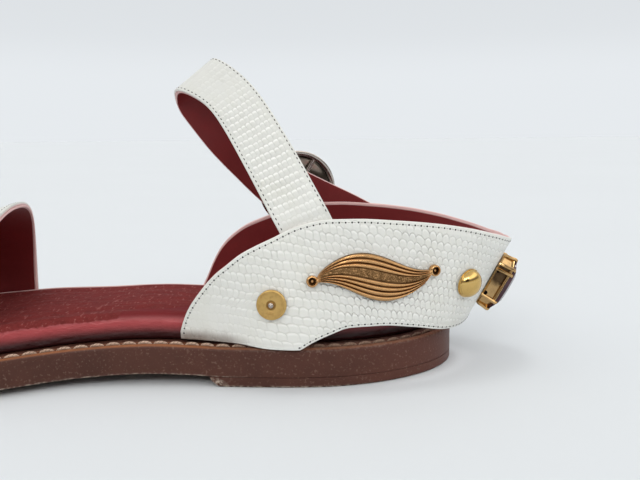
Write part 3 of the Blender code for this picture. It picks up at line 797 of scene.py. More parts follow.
class Tree:
    """Short calls for adding and joining shader nodes."""

    def __init__(self, tree):
        self.tree = tree

    def put(self, socket, value):
        if isinstance(value, bpy.types.NodeSocket):
            self.tree.links.new(value, socket)
        elif value is not None:
            socket.default_value = value

    def node(self, kind, inputs=(), **settings):
        made = self.tree.nodes.new("ShaderNode" + kind)
        for key, value in settings.items():
            setattr(made, key, value)
        for key, value in dict(inputs).items():
            self.put(made.inputs[key], value)
        return made

    def surface(self, **inputs):
        """Sets or joins sockets of the Principled shader, named with underscores for spaces."""
        shader = self.tree.nodes["Principled BSDF"]
        for key, value in inputs.items():
            self.put(shader.inputs[key.replace("_", " ")], value)

    def math(self, operation, a, b=None, c=None):
        return self.node("Math", {0: a, 1: b, 2: c}, operation=operation).outputs[0]

    def times(self, a, b):
        return self.math("MULTIPLY", a, b)

    def scaled(self, value, by, plus):
        """A value times one factor, with another value added."""
        return self.math("MULTIPLY_ADD", value, by, plus)

    def stretched(self, vector, by):
        return self.node("VectorMath", {0: vector, 1: by}, operation="MULTIPLY").outputs[0]

    def cone(self, vector, way, outer_deg, inner_deg):
        """1 where a vector of length 1 lies within the inner angle of a way, 0 beyond the outer one."""
        sockets = {0: vector, 1: tuple(unit(np.array(way)))}
        near = self.node("VectorMath", sockets, operation="DOT_PRODUCT").outputs["Value"]
        return self.ease(near, math.cos(math.radians(outer_deg)), math.cos(math.radians(inner_deg)))

    def split(self, vector):
        return self.node("SeparateXYZ", {0: vector}).outputs

    def mix(self, factor, a, b):
        colours = [v if isinstance(v, bpy.types.NodeSocket) else (*v[:3], 1.0) for v in (a, b)]
        made = self.node("Mix", {0: factor, 6: colours[0], 7: colours[1]}, data_type="RGBA")
        return made.outputs[2]

    def ease(self, value, low, high):
        sockets = {"Value": value, "From Min": low, "From Max": high}
        return self.node("MapRange", sockets, interpolation_type="SMOOTHSTEP").outputs[0]

    def clamp(self, value):
        return self.node("Clamp", {"Value": value}).outputs[0]

    def noise(self, vector, scale, detail=3.0, roughness=0.55):
        sockets = {"Vector": vector, "Scale": scale, "Detail": detail, "Roughness": roughness}
        return self.node("TexNoise", sockets).outputs[0]

    def attribute(self, name, output):
        return self.node("Attribute", attribute_name=name).outputs[output]

    def place(self):
        return self.node("TexCoord").outputs["Object"]

    def bump(self, height, strength, distance, normal=None):
        sockets = {"Height": height, "Strength": strength, "Distance": distance, "Normal": normal}
        return self.node("Bump", sockets).outputs[0]

    def group(self, name, inputs):
        made = self.node("Group")
        made.node_tree = bpy.data.node_groups[name]
        for key, value in inputs.items():
            self.put(made.inputs[key], value)
        return made.outputs

    def patches(self, vector, scale, low, high):
        sockets = {"Vector": vector, "Scale": scale, "Low": low, "High": high}
        return self.group("patches", sockets)["Mask"]

    def grain(self, vector, scale):
        return self.group("fine_grain", {"Vector": vector, "Scale": scale})["Height"]


def toned(colour, by):
    """A colour times one factor, or times one factor for each of its three values."""
    return tuple(float(c) for c in np.array(tuple(colour)) * by)


def new_group(name, inputs, outputs):
    """An empty shader group with named sockets, its Tree, its input sockets and its output node."""
    made = bpy.data.node_groups.new(name, "ShaderNodeTree")
    for title, kind in inputs:
        made.interface.new_socket(title, in_out="INPUT", socket_type="NodeSocket" + kind)
    for title, kind in outputs:
        made.interface.new_socket(title, in_out="OUTPUT", socket_type="NodeSocket" + kind)
    into = made.nodes.new("NodeGroupInput").outputs
    out = made.nodes.new("NodeGroupOutput").inputs
    return Tree(made), into, out


def make_scales_group():
    """Embossed scales. Lay counts scales along a row and rows, and both are warped by noise. Each row
    starts about half a scale after the one below. A scale's upper edge is arched and rolls over, and the
    next row's feet fill the gaps between the arches. Bow is the arches' height, Pillow straightens the rows
    and rounds the cushions, Flat wears them away."""
    inputs = (("Lay", "Vector"), ("Flat", "Float"), ("Pillow", "Float"), ("Bow", "Float"))
    outputs = (("Height", "Float"), ("Groove", "Float"), ("PaintedHighlight", "Float"), ("Tint", "Float"))
    t, into, out = new_group("leather_scales", inputs, outputs)
    pillow = into["Pillow"]
    split = t.split(into["Lay"])
    flat_lay = t.node("CombineXYZ", {0: split[0], 1: split[1]}).outputs[0]
    sway = t.math("SUBTRACT", t.noise(flat_lay, 0.22, 2.0), 0.5)
    level = t.scaled(sway, t.scaled(pillow, -0.5, 0.9), split[1])
    place = t.scaled(t.math("SUBTRACT", t.noise(flat_lay, 0.5, 1.0), 0.5), 0.6, split[0])

    def scale(row, up):
        """Height up the arch, distance from the middle and tint of the scale in a row."""
        start = t.node("TexWhiteNoise", {"W": row}, noise_dimensions="1D").outputs["Value"]
        reach = t.math("ADD", t.scaled(row, 0.5, place), t.times(start, 0.25))
        cell = t.node("CombineXYZ", {0: t.math("FLOOR", reach), 1: row}).outputs[0]
        tint = t.node("TexWhiteNoise", {"Vector": cell}, noise_dimensions="2D").outputs["Value"]
        off = t.math("ABSOLUTE", t.scaled(t.math("FRACT", reach), 2.0, -1.0))
        rise = t.times(into["Bow"], t.scaled(tint, 0.4, 0.8))
        return t.scaled(t.math("POWER", off, 2.2), rise, up), off, tint

    row = t.math("FLOOR", level)
    up = t.math("FRACT", level)
    here = scale(row, up)
    above = scale(t.math("ADD", row, 1.0), t.math("SUBTRACT", up, 1.0))
    over = t.math("GREATER_THAN", here[0], 1.0)
    arch, off, tint = (t.node("Mix", {0: over, 2: a, 3: b}).outputs[0] for a, b in zip(here, above))
    head = t.ease(arch, 1.0, 0.78)
    body = t.scaled(t.ease(arch, -0.35, 0.70), 0.45, 0.55)
    ends = t.scaled(t.ease(off, 0.68, 1.0), -0.35, 1.0)
    full = t.scaled(tint, 0.30, 0.75)
    tile = t.times(t.times(head, body), t.times(ends, full))
    middle = t.math("ABSOLUTE", t.scaled(up, 2.0, -1.0))
    soft = t.math("SUBTRACT", 1.0, t.math("POWER", middle, 2.2))
    soft = t.times(soft, t.scaled(t.math("POWER", here[1], 2.2), -0.75, 1.0))
    left = t.math("SUBTRACT", 1.0, into["Flat"])
    height = t.node("Mix", {0: pillow, 2: tile, 3: t.times(soft, full)}).outputs[0]
    line = t.math("MAXIMUM", t.ease(arch, 0.88, 1.0), t.times(t.ease(off, 0.86, 1.0), 0.5))
    # Arched upper edges of the scales, a mask for a painted highlight.
    rim = t.times(t.ease(arch, 0.52, 0.74), t.ease(arch, 0.93, 0.80))
    rim = t.times(rim, t.ease(off, 1.0, 0.7))
    t.put(out["Height"], t.times(height, left))
    t.put(out["Groove"], t.times(line, t.scaled(left, 0.5, 0.5)))
    t.put(out["PaintedHighlight"], t.times(rim, left))
    t.put(out["Tint"], tint)


def make_grain_group():
    """Fine leather grain: small cells softened by noise, as a height."""
    t, into, out = new_group("fine_grain", (("Vector", "Vector"), ("Scale", "Float")), (("Height", "Float"),))
    cells = t.node("TexVoronoi", {"Vector": into["Vector"], "Scale": into["Scale"]}).outputs["Distance"]
    cloud = t.noise(into["Vector"], t.times(into["Scale"], 0.7), 4.0, 0.65)
    t.put(out["Height"], t.scaled(cells, 0.6, cloud))


def make_wear_group():
    """Patches of wear: noise of one size, cut off softly between Low and High."""
    inputs = (("Vector", "Vector"), ("Scale", "Float"), ("Low", "Float"), ("High", "Float"))
    t, into, out = new_group("patches", inputs, (("Mask", "Float"),))
    cloud = t.noise(into["Vector"], into["Scale"], 5.0, 0.62)
    t.put(out["Mask"], t.ease(cloud, into["Low"], into["High"]))


def new_material(name, **constants):
    """A material with plain values of its Principled shader set, and its Tree."""
    made = bpy.data.materials.new(name)
    made.use_nodes = True
    t = Tree(made.node_tree)
    t.surface(**constants)
    return made, t


def make_white_leather(name, colours, pillow, relief, painted_shade_factor):
    """Embossed leather, worn flat where wear says so. Grooves are greyed as painted shade, the scales' arched
    rims are paled as a painted highlight, a few pinholes are dark, soiling gathers where soil says so, and
    the edge's inner half shows the pink of its cut."""
    made, t = new_material(name, Coat_Weight=0.2, Coat_Roughness=0.26, Specular_IOR_Level=0.42)
    lay = t.attribute("lay", "Vector")
    place = t.place()
    cloud = t.noise(place, 110.0, 2.0)
    flat = t.clamp(t.math("ADD", t.attribute("wear", "Fac"), t.scaled(cloud, 1.2, -0.6)))
    heel = t.ease(t.split(place)[0], 0.060, 0.095)
    bow = t.scaled(heel, 0.24, 0.15)
    scales = t.group("leather_scales", {"Lay": lay, "Flat": flat, "Pillow": pillow, "Bow": bow})
    grain = t.grain(place, 1900.0)
    soil = t.patches(place, 60.0, 0.45, 0.75)
    # Painted shade: the white is scaled down for each copy, on the strap further than on the band, to stand
    # for less light falling on it.
    white = toned(colours.white, painted_shade_factor)
    painted_groove_shade = toned(white, (0.66, 0.66, 0.645))
    dull = toned(white, (0.95, 0.945, 0.90))
    colour = t.mix(t.times(soil, 0.6), white, dull)
    colour = t.mix(t.times(scales["Tint"], 0.25), colour, dull)
    # Painted shade: the scales' grooves are greyed.
    colour = t.mix(t.times(scales["Groove"], 0.32), colour, painted_groove_shade)
    # Painted highlight: the scales' arched rims are paled.
    colour = t.mix(t.times(scales["PaintedHighlight"], 0.75), colour, (0.90, 0.90, 0.87))
    dots = t.node("TexVoronoi", {"Vector": place, "Scale": 125.0}).outputs
    chosen = t.math("GREATER_THAN", t.node("SeparateColor", {0: dots["Color"]}).outputs[0], 0.72)
    dots = t.times(t.ease(dots["Distance"], 0.034, 0.020), chosen)
    colour = t.mix(t.times(dots, 0.75), colour, (0.12, 0.11, 0.10))
    along, row, depth = t.split(lay)
    colour = t.mix(t.ease(depth, 0.00045, 0.0012), colour, colours.cut_edge)
    smear = t.ease(t.math("ADD", t.attribute("soil", "Fac"), t.times(soil, 0.25)), 0.40, 1.3)
    colour = t.mix(smear, colour, (0.17, 0.125, 0.098))
    t.surface(Base_Color=colour)
    rough = t.scaled(scales["Groove"], 0.2, t.scaled(soil, 0.12, 0.40))
    t.surface(Roughness=rough)
    drawn = t.node("CombineXYZ", {0: t.times(along, 0.4), 1: row}).outputs[0]
    wrinkles = t.noise(drawn, 1.1, 3.0, 0.6)
    embossed = t.bump(scales["Height"], 1.0, relief)
    embossed = t.bump(wrinkles, 0.5, 0.00035, embossed)
    t.surface(Normal=t.bump(grain, 0.10, 0.0001, embossed))
    return made


def make_lining(colours):
    """Red lining leather with a fine grain and slightly paler rubbed patches. Its cut edge is pink, and it
    is rubbed pale where wear nears 1."""
    made, t = new_material("red_lining", Specular_IOR_Level=0.3)
    place = t.place()
    grain = t.grain(place, 1500.0)
    rubbed = t.patches(place, 140.0, 0.4, 0.8)
    red = colours.lining
    colour = t.mix(t.times(rubbed, 0.5), red, toned(red, 1.4))
    depth = t.split(t.attribute("lay", "Vector"))[2]
    pale = t.math("MAXIMUM", t.ease(depth, 0.0017, 0.0013), t.ease(t.attribute("wear", "Fac"), 0.68, 0.80))
    colour = t.mix(t.times(pale, 0.92), colour, colours.cut_edge)
    t.surface(Base_Color=colour)
    t.surface(Roughness=t.scaled(rubbed, 0.15, 0.55))
    t.surface(Normal=t.bump(grain, 0.3, 0.0002))
    return made


def make_insole_leather(colours):
    """Insole: smooth waxed red leather that turns to a rough, browner nap where wear is 1, with pale rubbed
    specks, a painted pale highlight along the far rim where soil is 1, and painted shade: the top darker
    than the roll, darker in the crease, near black low down. Lay's third value is a share of the height, over
    1 in the crease."""
    made, t = new_material("insole_leather")
    place = t.place()
    level = t.split(t.attribute("lay", "Vector"))[2]
    cloud = t.patches(place, 110.0, 0.3, 0.75)
    torn = t.math("SUBTRACT", t.noise(place, 520.0, 3.0), 0.5)
    wear = t.ease(t.math("ADD", t.attribute("wear", "Fac"), torn), 0.30, 0.65)
    drawn = t.stretched(place, (1.0, 0.30, 1.0))
    specks = t.patches(drawn, 900.0, 0.56, 0.68)
    blots = t.patches(place, 420.0, 0.48, 0.68)
    grain = t.grain(place, 1300.0)
    red = colours.insole
    # Painted shade: the top face is made much darker than the roll.
    colour = t.mix(t.ease(level, 0.68, 0.95), red, toned(red, 0.40))
    colour = t.mix(t.times(cloud, 0.3), colour, toned(red, 0.55))
    nap = t.mix(cloud, colours.insole_worn, toned(colours.insole_worn, 1.2))
    nap = t.mix(t.times(blots, 0.35), nap, toned(colours.insole_worn, 0.55))
    nap = t.mix(t.times(specks, 0.5), nap, (0.38, 0.14, 0.13))
    colour = t.mix(wear, colour, nap)
    # Painted shade: darker in the crease.
    deep = toned(red, 0.35)
    colour = t.mix(t.times(t.ease(level, 1.2, 1.9), 0.55), colour, deep)
    # Painted shade: near black low on the roll, where it meets the welt.
    colour = t.mix(t.ease(level, 0.66, 0.18), colour, toned(red, 0.08))
    # Painted highlight: pale along the far roll's top where soil is 1.
    colour = t.mix(t.times(t.attribute("soil", "Fac"), 0.85), colour, colours.cut_edge)
    t.surface(Base_Color=colour)
    dry = t.math("MAXIMUM", wear, t.ease(level, 0.80, 0.96))
    t.surface(Specular_IOR_Level=t.scaled(dry, -0.34, 0.42))
    t.surface(Roughness=t.scaled(dry, 0.42, t.scaled(cloud, 0.12, 0.36)))
    folds = t.noise(t.stretched(place, (0.35, 1.0, 1.0)), 300.0, 4.0)
    soft = t.bump(folds, 0.85, 0.0010)
    rough = t.times(t.scaled(wear, 1.6, 0.5), grain)
    t.surface(Normal=t.bump(rough, 0.35, 0.00025, soft))
    return made


def make_sole_leather(name, colours, bare):
    """Waxed sole edge with fine pale specks and painted light that makes it lighter and redder towards the
    heel, with a bare tan top where wear is 1, and rubbed rims where soil is 1, the upper one at the heel in
    part a painted highlight."""
    made, t = new_material(name, Specular_IOR_Level=0.22)
    place = t.place()
    wear = t.attribute("wear", "Fac")
    scuff = t.attribute("soil", "Fac")
    cloud = t.patches(place, 45.0, 0.3, 0.75)
    specks = t.patches(place, 1150.0, 0.57, 0.66)
    fuzz = t.patches(place, 900.0, 0.42, 0.62)
    grain = t.grain(place, 1700.0)
    brown = colours.sole
    colour = t.mix(cloud, toned(brown, 0.82), toned(brown, 1.15))
    # Painted light: lighter and redder towards the heel's back.
    heel = t.ease(t.split(place)[0], 0.060, 0.115)
    colour = t.mix(t.times(heel, 0.4), colour, (0.15, 0.053, 0.037))
    colour = t.mix(t.times(specks, 0.26), colour, (0.30, 0.19, 0.15))
    colour = t.mix(t.times(wear, t.scaled(cloud, 0.4, 0.6)), colour, bare)
    colour = t.mix(t.times(scuff, fuzz), colour, (0.50, 0.41, 0.33))
    t.surface(Base_Color=colour)
    rough = t.scaled(t.math("MAXIMUM", wear, scuff), 0.25, t.scaled(cloud, 0.12, 0.42))
    t.surface(Roughness=rough)
    t.surface(Normal=t.bump(grain, 0.22, 0.0002))
    return made


def make_thread(name, colour, twist, roughness):
    """Twisted thread: slanting lines of painted shade where the strands meet, darker in patches of soiling
    and where wear is 1, which on the welt is painted shade towards the heel. Lay runs along and round the
    thread."""
    made, t = new_material(name, Roughness=roughness, Specular_IOR_Level=0.25)
    split = t.split(t.attribute("lay", "Vector"))
    turn = t.math("ADD", t.times(split[0], twist), split[1])
    strand = t.math("ABSOLUTE", t.math("SINE", turn))
    dark = toned(colour, (0.30, 0.24, 0.20))
    soil = t.patches(t.place(), 130.0, 0.35, 0.8)
    # Patches of soiling, and painted shade where wear is 1.
    dirt_and_shade = t.math("MAXIMUM", t.times(soil, 0.5), t.attribute("wear", "Fac"))
    lit = t.mix(dirt_and_shade, colour, dark)
    # Painted shade between the strands.
    t.surface(Base_Color=t.mix(t.ease(strand, 0.0, 0.5), dark, lit))
    t.surface(Normal=t.bump(strand, 0.5, 0.00015))
    return made


def make_metal(name, colour, shade, roughness, dent, wear_dark, patchy):
    """Worn plated metal: darker where wear says so, which is patina in the hollows and a painted reflection
    on the jewel's sunk windows, and darker in patches, with fine scratches and soft dents. Where lay's third
    value nears 1 it is stippled with small bright grains."""
    made, t = new_material(name, Metallic=1.0)
    place = t.place()
    wear = t.attribute("wear", "Fac")
    stipple = t.ease(t.split(t.attribute("lay", "Vector"))[2], 0.5, 1.0)
    cloud = t.patches(place, 420.0, 0.42, 0.78)
    fine = t.patches(place, 2600.0, 0.5, 0.75)
    grains = t.times(stipple, t.grain(place, 2300.0))
    dark = t.math("ADD", t.times(wear, wear_dark), t.times(cloud, patchy))
    colour_out = t.mix(t.clamp(dark), colour, shade)
    lit = t.ease(grains, 0.75, 1.0)
    t.surface(Base_Color=t.mix(t.times(lit, 0.6), colour_out, colour))
    rough = t.scaled(cloud, 0.12, t.scaled(wear, 0.2, roughness))
    t.surface(Roughness=rough)
    soft = t.bump(t.scaled(fine, 0.3, cloud), dent, 0.00012)
    t.surface(Normal=t.bump(grains, 0.8, 0.00022, soft))
    return made


def make_stone(colours):
    """Dark polished stone, a little paler and redder in clouds, with pale facet edges."""
    polish = {"Roughness": 0.07, "IOR": 1.62, "Coat_Weight": 0.5, "Coat_Roughness": 0.04}
    made, t = new_material("polished_stone", **polish)
    cloud = t.patches(t.place(), 240.0, 0.35, 0.7)
    deep = colours.stone
    colour = t.mix(cloud, deep, toned(deep, 2.0))
    rim = t.ease(t.attribute("wear", "Fac"), 0.6, 1.0)
    t.surface(Base_Color=t.mix(t.times(rim, 0.55), colour, (0.34, 0.27, 0.28)))
    return made


def palette(kind):
    """A finish that was made before, by its name."""
    return bpy.data.materials[kind]


def put_soil_and_highlight(piece, values):
    """A share for each point of a finished piece, from its points' places: soiling and scuffs on most pieces,
    a painted highlight along the insole's far rim, and in part along the sole's upper rim at the heel.
    """
    count = len(piece.data.vertices)
    places = np.zeros(count * 3, np.float32)
    piece.data.vertices.foreach_get("co", places)
    soil = piece.data.attributes.new("soil", "FLOAT", "POINT")
    soil.data.foreach_set("value", values(places.reshape(-1, 3).astype(float)).astype(np.float32))


class SANDAL_OT_finishes(bpy.types.Operator):
    """Makes the shader groups and the materials"""

    bl_idname = "sandal.finishes"
    bl_label = "Finishes"

    def execute(self, context):
        colours = context.scene.sandal_colours
        make_scales_group()
        make_grain_group()
        make_wear_group()
        make_white_leather("white_band", colours, pillow=0.0, relief=0.00058, painted_shade_factor=0.96)
        # Painted shade: the strap's white is darker than the band's.
        make_white_leather("white_strap", colours, pillow=0.75, relief=0.00036, painted_shade_factor=0.87)
        make_lining(colours)
        make_insole_leather(colours)
        make_sole_leather("sole_edge", colours, colours.welt)
        make_sole_leather("lift_edge", colours, toned(colours.welt, 0.6))
        make_thread("welt_thread", colours.thread, twist=2600.0, roughness=0.6)
        make_thread("seam_thread", colours.seam, twist=6000.0, roughness=0.7)
        make_thread("seam_grey", toned(colours.seam, 8), twist=6000.0, roughness=0.7)
        brown_gold = toned(colours.gold, (0.85, 0.82, 1.05))
        # Colour, shade, roughness, dents, and darkness of the hollows (on the jewel's windows a painted
        # reflection) and of the patches
        metals = (
            ("polished_gold", colours.gold, (0.075, 0.045, 0.020), 0.09, 0.05, 1.0, 0.15),
            ("worn_gold_painted_reflection", brown_gold, (0.075, 0.045, 0.024), 0.14, 0.08, 1.0, 0.30),
            ("scratched_gold", colours.stud, (0.30, 0.16, 0.05), 0.34, 0.30, 0.8, 0.55),
            ("antique_copper", colours.copper, (0.060, 0.028, 0.010), 0.20, 0.10, 0.95, 0.22),
            ("polished_grey", colours.steel, (0.10, 0.075, 0.06), 0.14, 0.06, 0.9, 0.22),
        )
        for metal in metals:
            make_metal(*metal)
        make_stone(colours)
        # Painted shade: the shallow bores are filled with a flat black.
        black = (0.004, 0.003, 0.003, 1.0)
        new_material("bore_painted_shade", Base_Color=black, Roughness=1.0, Specular_IOR_Level=0.0)
        return {"FINISHED"}


def stacked_outline(piece, levels, count=150, wear=None):
    """Closed outlines of the sole stacked from bottom to top with flat caps. Each level has an inset, a
    height over the stations and the station where its outline is cut off, or None."""
    rings, lays = [], []
    for inset, height, stop in levels:
        station, near, far = sole_plan(inset, stop, count)
        z = height(station)
        ring = np.concatenate([world(station, near, z), world(station, far, z)[::-1]])
        both = np.concatenate([station, station[::-1]])
        rings.append(ring)
        above = ring[:, 2] - sole_bottom(both)
        lays.append(np.stack([arc_length(ring), above, np.full(len(ring), inset)], axis=1))
    size = 2 * count
    cap = ring_cap(size)
    quads = [grid_quads(len(rings), size, wrap_columns=True), cap, cap + (len(rings) - 1) * size]
    points, lays = np.stack(rings), np.stack(lays)
    piece.add(points, np.concatenate(quads), lays, None if wear is None else wear(points, lays))


class SANDAL_OT_sole(bpy.types.Operator):
    """Welted sole and its heel lift: profiles of insets and heights carried round the outline"""

    bl_idname = "sandal.sole"
    bl_label = "Sole"

    def execute(self, context):
        self.sole()
        self.heel_lift()
        return {"FINISHED"}

    @staticmethod
    def sole():
        """The sole with a rounded rim and a groove for the welt's seam."""

        def over(lift):
            return lambda station: sole_bottom(station) + lift

        top = SOLE_THICKNESS
        # Inset from the rim and height above the underside
        profile = (
            (0.0120, 0.0),
            (0.0020, 0.0),
            (0.0003, 0.0),
            (0.00015, 0.00004),
            (0.00004, 0.00015),
            (0.0, 0.0003),
            (0.0, 0.0006),
            (0.0, 0.0030),
            (0.00005, 0.0050),
            (0.0, 0.0070),
            (0.0, top - 0.0010),
            (0.00012, top - 0.00042),
            (0.00045, top - 0.00012),
            (0.0009, top),
            (0.0018, top),
            (0.0026, top - 0.0001),
            (0.0031, top - 0.0005),
            (0.0040, top - 0.0005),
            (0.0045, top - 0.0001),
            (0.0050, top),
            (0.0060, top),
            (0.0100, top),
        )

        def bare(points, lay):
            """1 on the welt's top outside its seam, less towards the heel as painted shade."""
            ahead = HEEL_BACK_X - points[..., 0]
            above, inset = lay[..., 1], lay[..., 2]
            on_top = ease(above, top - 0.0005, top - 0.0001) * ease(inset, 0.0002, 0.0006)
            outside_seam = 1 - ease(inset, 0.0040, 0.0050)
            return on_top * outside_seam * (0.55 + 0.45 * ease(ahead, 0.070, 0.092))

        piece = Piece()
        stacked_outline(piece, [(inset, over(lift), None) for inset, lift in profile], wear=bare)
        made = piece.make("welted_sole", [palette("sole_edge")], ["outsole"])

        def rim_rub(places):
            """Rubbed rims: the lower one from the waist on, the upper one a little round the heel, in part a
            painted highlight there.
            """
            ahead = HEEL_BACK_X - places[:, 0]
            above = places[:, 2] - sole_bottom(ahead)
            bottom_edge = 1 - ease(above, 0.0002, 0.0006)
            top_edge = ease(above, top - 0.0010, top - 0.0004) * (1 - ease(ahead, 0.065, 0.085))
            return np.maximum(0.7 * bottom_edge * ease(ahead, 0.070, 0.090), 0.12 * top_edge)

        put_soil_and_highlight(made, rim_rub)

    @staticmethod
    def heel_lift():
        """The lift with a rounded lower rim and a breast that slants back."""
        piece = Piece()
        lift_top = HEEL_LIFT + GAP
        # Inset, height, and how far the breast stands back
        levels = (
            (0.0120, 0.0, 0.0034),
            (0.0020, 0.0, 0.0034),
            (0.0009, 0.0, 0.0034),
            (0.00045, 0.00012, 0.0032),
            (0.00012, 0.00045, 0.0028),
            (0.0, 0.0008, 0.0024),
            (0.0, 0.0012, 0.0018),
            (0.0, 0.0020, 0.0008),
            (0.0, lift_top, 0.0),
            (0.0100, lift_top, 0.0),
        )

        def level_at(z):
            return lambda station: np.full(len(station), z)

        flat = [(inset, level_at(z), HEEL_BREAST - back) for inset, z, back in levels]
        stacked_outline(piece, flat, count=90)
        made = piece.make("heel_lift_edge", [palette("lift_edge")], ["heel_lift"])

        def scuffs(places):
            """Scuffs along the lower rim and on the lower half of the breast."""
            ahead = HEEL_BACK_X - places[:, 0]
            low = 1 - ease(places[:, 2], 0.0003, 0.0009)
            near_breast = ease(ahead, HEEL_BREAST - 0.0062, HEEL_BREAST - 0.0024)
            breast = near_breast * (1 - ease(places[:, 2], 0.0014, 0.0032))
            return np.clip(low * ease(ahead, 0.020, 0.055) + 1.4 * breast, 0.0, 1.0)

        put_soil_and_highlight(made, scuffs)


class SANDAL_OT_welt_seam(bpy.types.Operator):
    """Seam of the welt: one arched, twisted stitch after another along the outline"""

    bl_idname = "sandal.welt_seam"
    bl_label = "Welt seam"

    def execute(self, context):
        sizes = context.scene.sandal_sizes
        station, near, far = sole_plan(sizes.welt_inset, count=500)
        z = sole_bottom(station) + SOLE_THICKNESS
        line = np.concatenate([world(station, near, z), world(station, far, z)[-2::-1]])
        run = arc_length(line)
        count = int(round(run[-1] / sizes.welt_pitch))
        steps, around = 9, 8
        t = np.linspace(0.0, 1.0, steps)
        place = (1 - WELT_STITCH_FILL) / 2 + WELT_STITCH_FILL * t
        at = (np.arange(count)[:, None] + place) * run[-1] / count
        centre = np.stack([np.interp(at, run, line[:, k]) for k in range(3)], axis=-1)
        along = unit(np.gradient(centre, axis=1))
        up = np.array([0.0, 0.0, 1.0])
        across = unit(np.cross(up, along))
        arch = np.sin(math.pi * t) ** 0.42
        centre = centre + up * (WELT_STITCH_RISE * arch - WELT_STITCH_SINK)[None, :, None]
        radius = WELT_STITCH_RADIUS * (0.45 + 0.55 * arch)[None, :, None, None]
        angle = np.linspace(0.0, 2 * math.pi, around, endpoint=False)
        spoke = np.cos(angle)[:, None] * across[:, :, None, :] + np.sin(angle)[:, None] * up
        points = centre[:, :, None, :] + radius * spoke
        quads = grid_quads(steps, around, wrap_columns=True)
        ends = np.array([(0, 1, 2, 3), (0, 3, 4, 7), (4, 5, 6, 7)])
        quads = np.concatenate([quads, ends, ends + (steps - 1) * around])
        every = repeated(quads, steps * around, count)
        lay = np.zeros(points.shape)
        lay[..., 0] = at[:, :, None]
        lay[..., 1] = angle
        ahead = HEEL_BACK_X - points[..., 0]
        piece = Piece()
        # Painted shade: wear darkens the thread towards the heel.
        piece.add(points, every, lay, 0.72 * (1 - ease(ahead, 0.062, 0.088)))
        piece.make("welt_seam", [palette("welt_thread")])
        return {"FINISHED"}


def from_fold(ahead, side):
    """Distance of places on the insole from its short fold."""
    start, reach = np.array(FOLD_FROM), np.array(FOLD_TO) - np.array(FOLD_FROM)
    place = np.stack([ahead, side], axis=-1) - start
    share = np.clip(place @ reach / (reach @ reach), 0.0, 1.0)
    return np.linalg.norm(place - share[..., None] * reach, axis=-1)


class SANDAL_OT_insole(bpy.types.Operator):
    """Padded insole: a rolled edge, a soft trough beside it, and a worn middle that lies a little lower"""

    bl_idname = "sandal.insole"
    bl_label = "Insole"

    def execute(self, context):
        # Inset and share of the insole's height
        roll = (
            (0.0006, 0.00),
            (0.0001, 0.06),
            (0.0000, 0.14),
            (0.0000, 0.50),
            (0.0002, 0.66),
            (0.0006, 0.78),
            (0.0011, 0.87),
            (0.0018, 0.94),
            (0.0026, 0.98),
            (0.0036, 1.00),
        )
        count, wide = 190, 72
        piece = Piece()
        rings = []
        for inset, share in roll:
            station, near, far = sole_plan(WELT_WIDTH + inset, count=count)
            z = insole_top(station) - (1 - share) * INSOLE_HEIGHT
            rings.append(np.concatenate([world(station, near, z), world(station, far, z)[::-1]]))
        quads = np.concatenate([grid_quads(len(roll), 2 * count, wrap_columns=True), ring_cap(2 * count)])
        rings = np.stack(rings)
        lay = rings.copy()
        lay[..., 2] = np.array([share for _, share in roll])[:, None]
        napped = ease(lay[..., 2], 0.70, 0.90) * ease(HEEL_BACK_X - rings[..., 0], *NAPPED_AHEAD)
        piece.add(rings, quads, lay, napped)
        across = (0.5 - 0.5 * np.cos(np.linspace(0.0, math.pi, wide)))[None, :]
        side = near[:, None] + across * (far - near)[:, None]
        ahead = np.broadcast_to(station[:, None], side.shape)
        from_edge = np.minimum(side - near[:, None], far[:, None] - side)
        line = smooth(WORN_ROWS, WORN_COLUMNS, "side", station)[:, None]
        napped = ease(ahead, *NAPPED_AHEAD)
        worn = ease(side - line, -0.0006, 0.0010) * np.maximum(ease(from_edge, 0.0004, 0.0030), napped)
        trough = np.exp(-(((from_edge - TROUGH_AT) / TROUGH_HALF) ** 2))
        crease = np.exp(-(((side - line) / CREASE_HALF) ** 2)) * ease(from_edge, 0.0, 0.0030)
        crease = np.maximum(crease, 0.8 * np.exp(-((from_fold(ahead, side) / FOLD_HALF) ** 2)))
        ripple = np.sin(side * 900 + 3.0 * np.sin(ahead * 160)) * ease(from_edge, 0.0, 0.0060)
        drop = TROUGH_DEPTH * trough + CREASE_DEPTH * crease + WORN_DEPTH * worn + RIPPLE_DEPTH * ripple
        top = world(ahead, side, insole_top(ahead) - drop * ease(from_edge, 0.0, 0.0012))
        lay = top.copy()
        lay[..., 2] = 1.0 + crease
        piece.grid(top, lay, worn)
        made = piece.make("insole_cover", [palette("insole_leather")], ["insole"])

        def painted_far_rim_highlight(places):
            """1 along the top of the far roll as far as the toe band, where a pale highlight is painted."""
            ahead = HEEL_BACK_X - places[:, 0]
            edge = np.interp(ahead, station, far)
            beyond = places[:, 1] - CENTRE_Y - edge
            rim = ease(beyond, -0.0014, -0.0003) * (1 - ease(beyond, 0.0012, 0.0024))
            return rim * (1 - ease(ahead, 0.17, 0.21))

        put_soil_and_highlight(made, painted_far_rim_highlight)
        return {"FINISHED"}


def band_pattern(run, height, sizes):
    """Places in the pattern of scales: scales along a row and rows up the band. From the front, at distance
    run, the rows fall and narrow as quadratics of run, and level out at the heel's back."""
    level_from, level_to = ROW_LEVELLING
    run = run - np.maximum(run - level_from, 0.0) ** 2 / (2 * (level_to - level_from))
    row = sizes.scale_row * (1 - ROW_NARROWING[0] * run - ROW_NARROWING[1] * run**2)
    rows = (height - ROW_START + ROW_FALL[0] * run + ROW_FALL[1] * run**2) / row
    low_front = (1 - ease(run, 0.020, 0.045)) * (1 - ease(height, 0.024, 0.032))
    length = sizes.scale_length * (1 - 0.22 * low_front)
    return (run + SCALE_LEAN * (height - SCALE_LEAN_FROM)) / length, rows


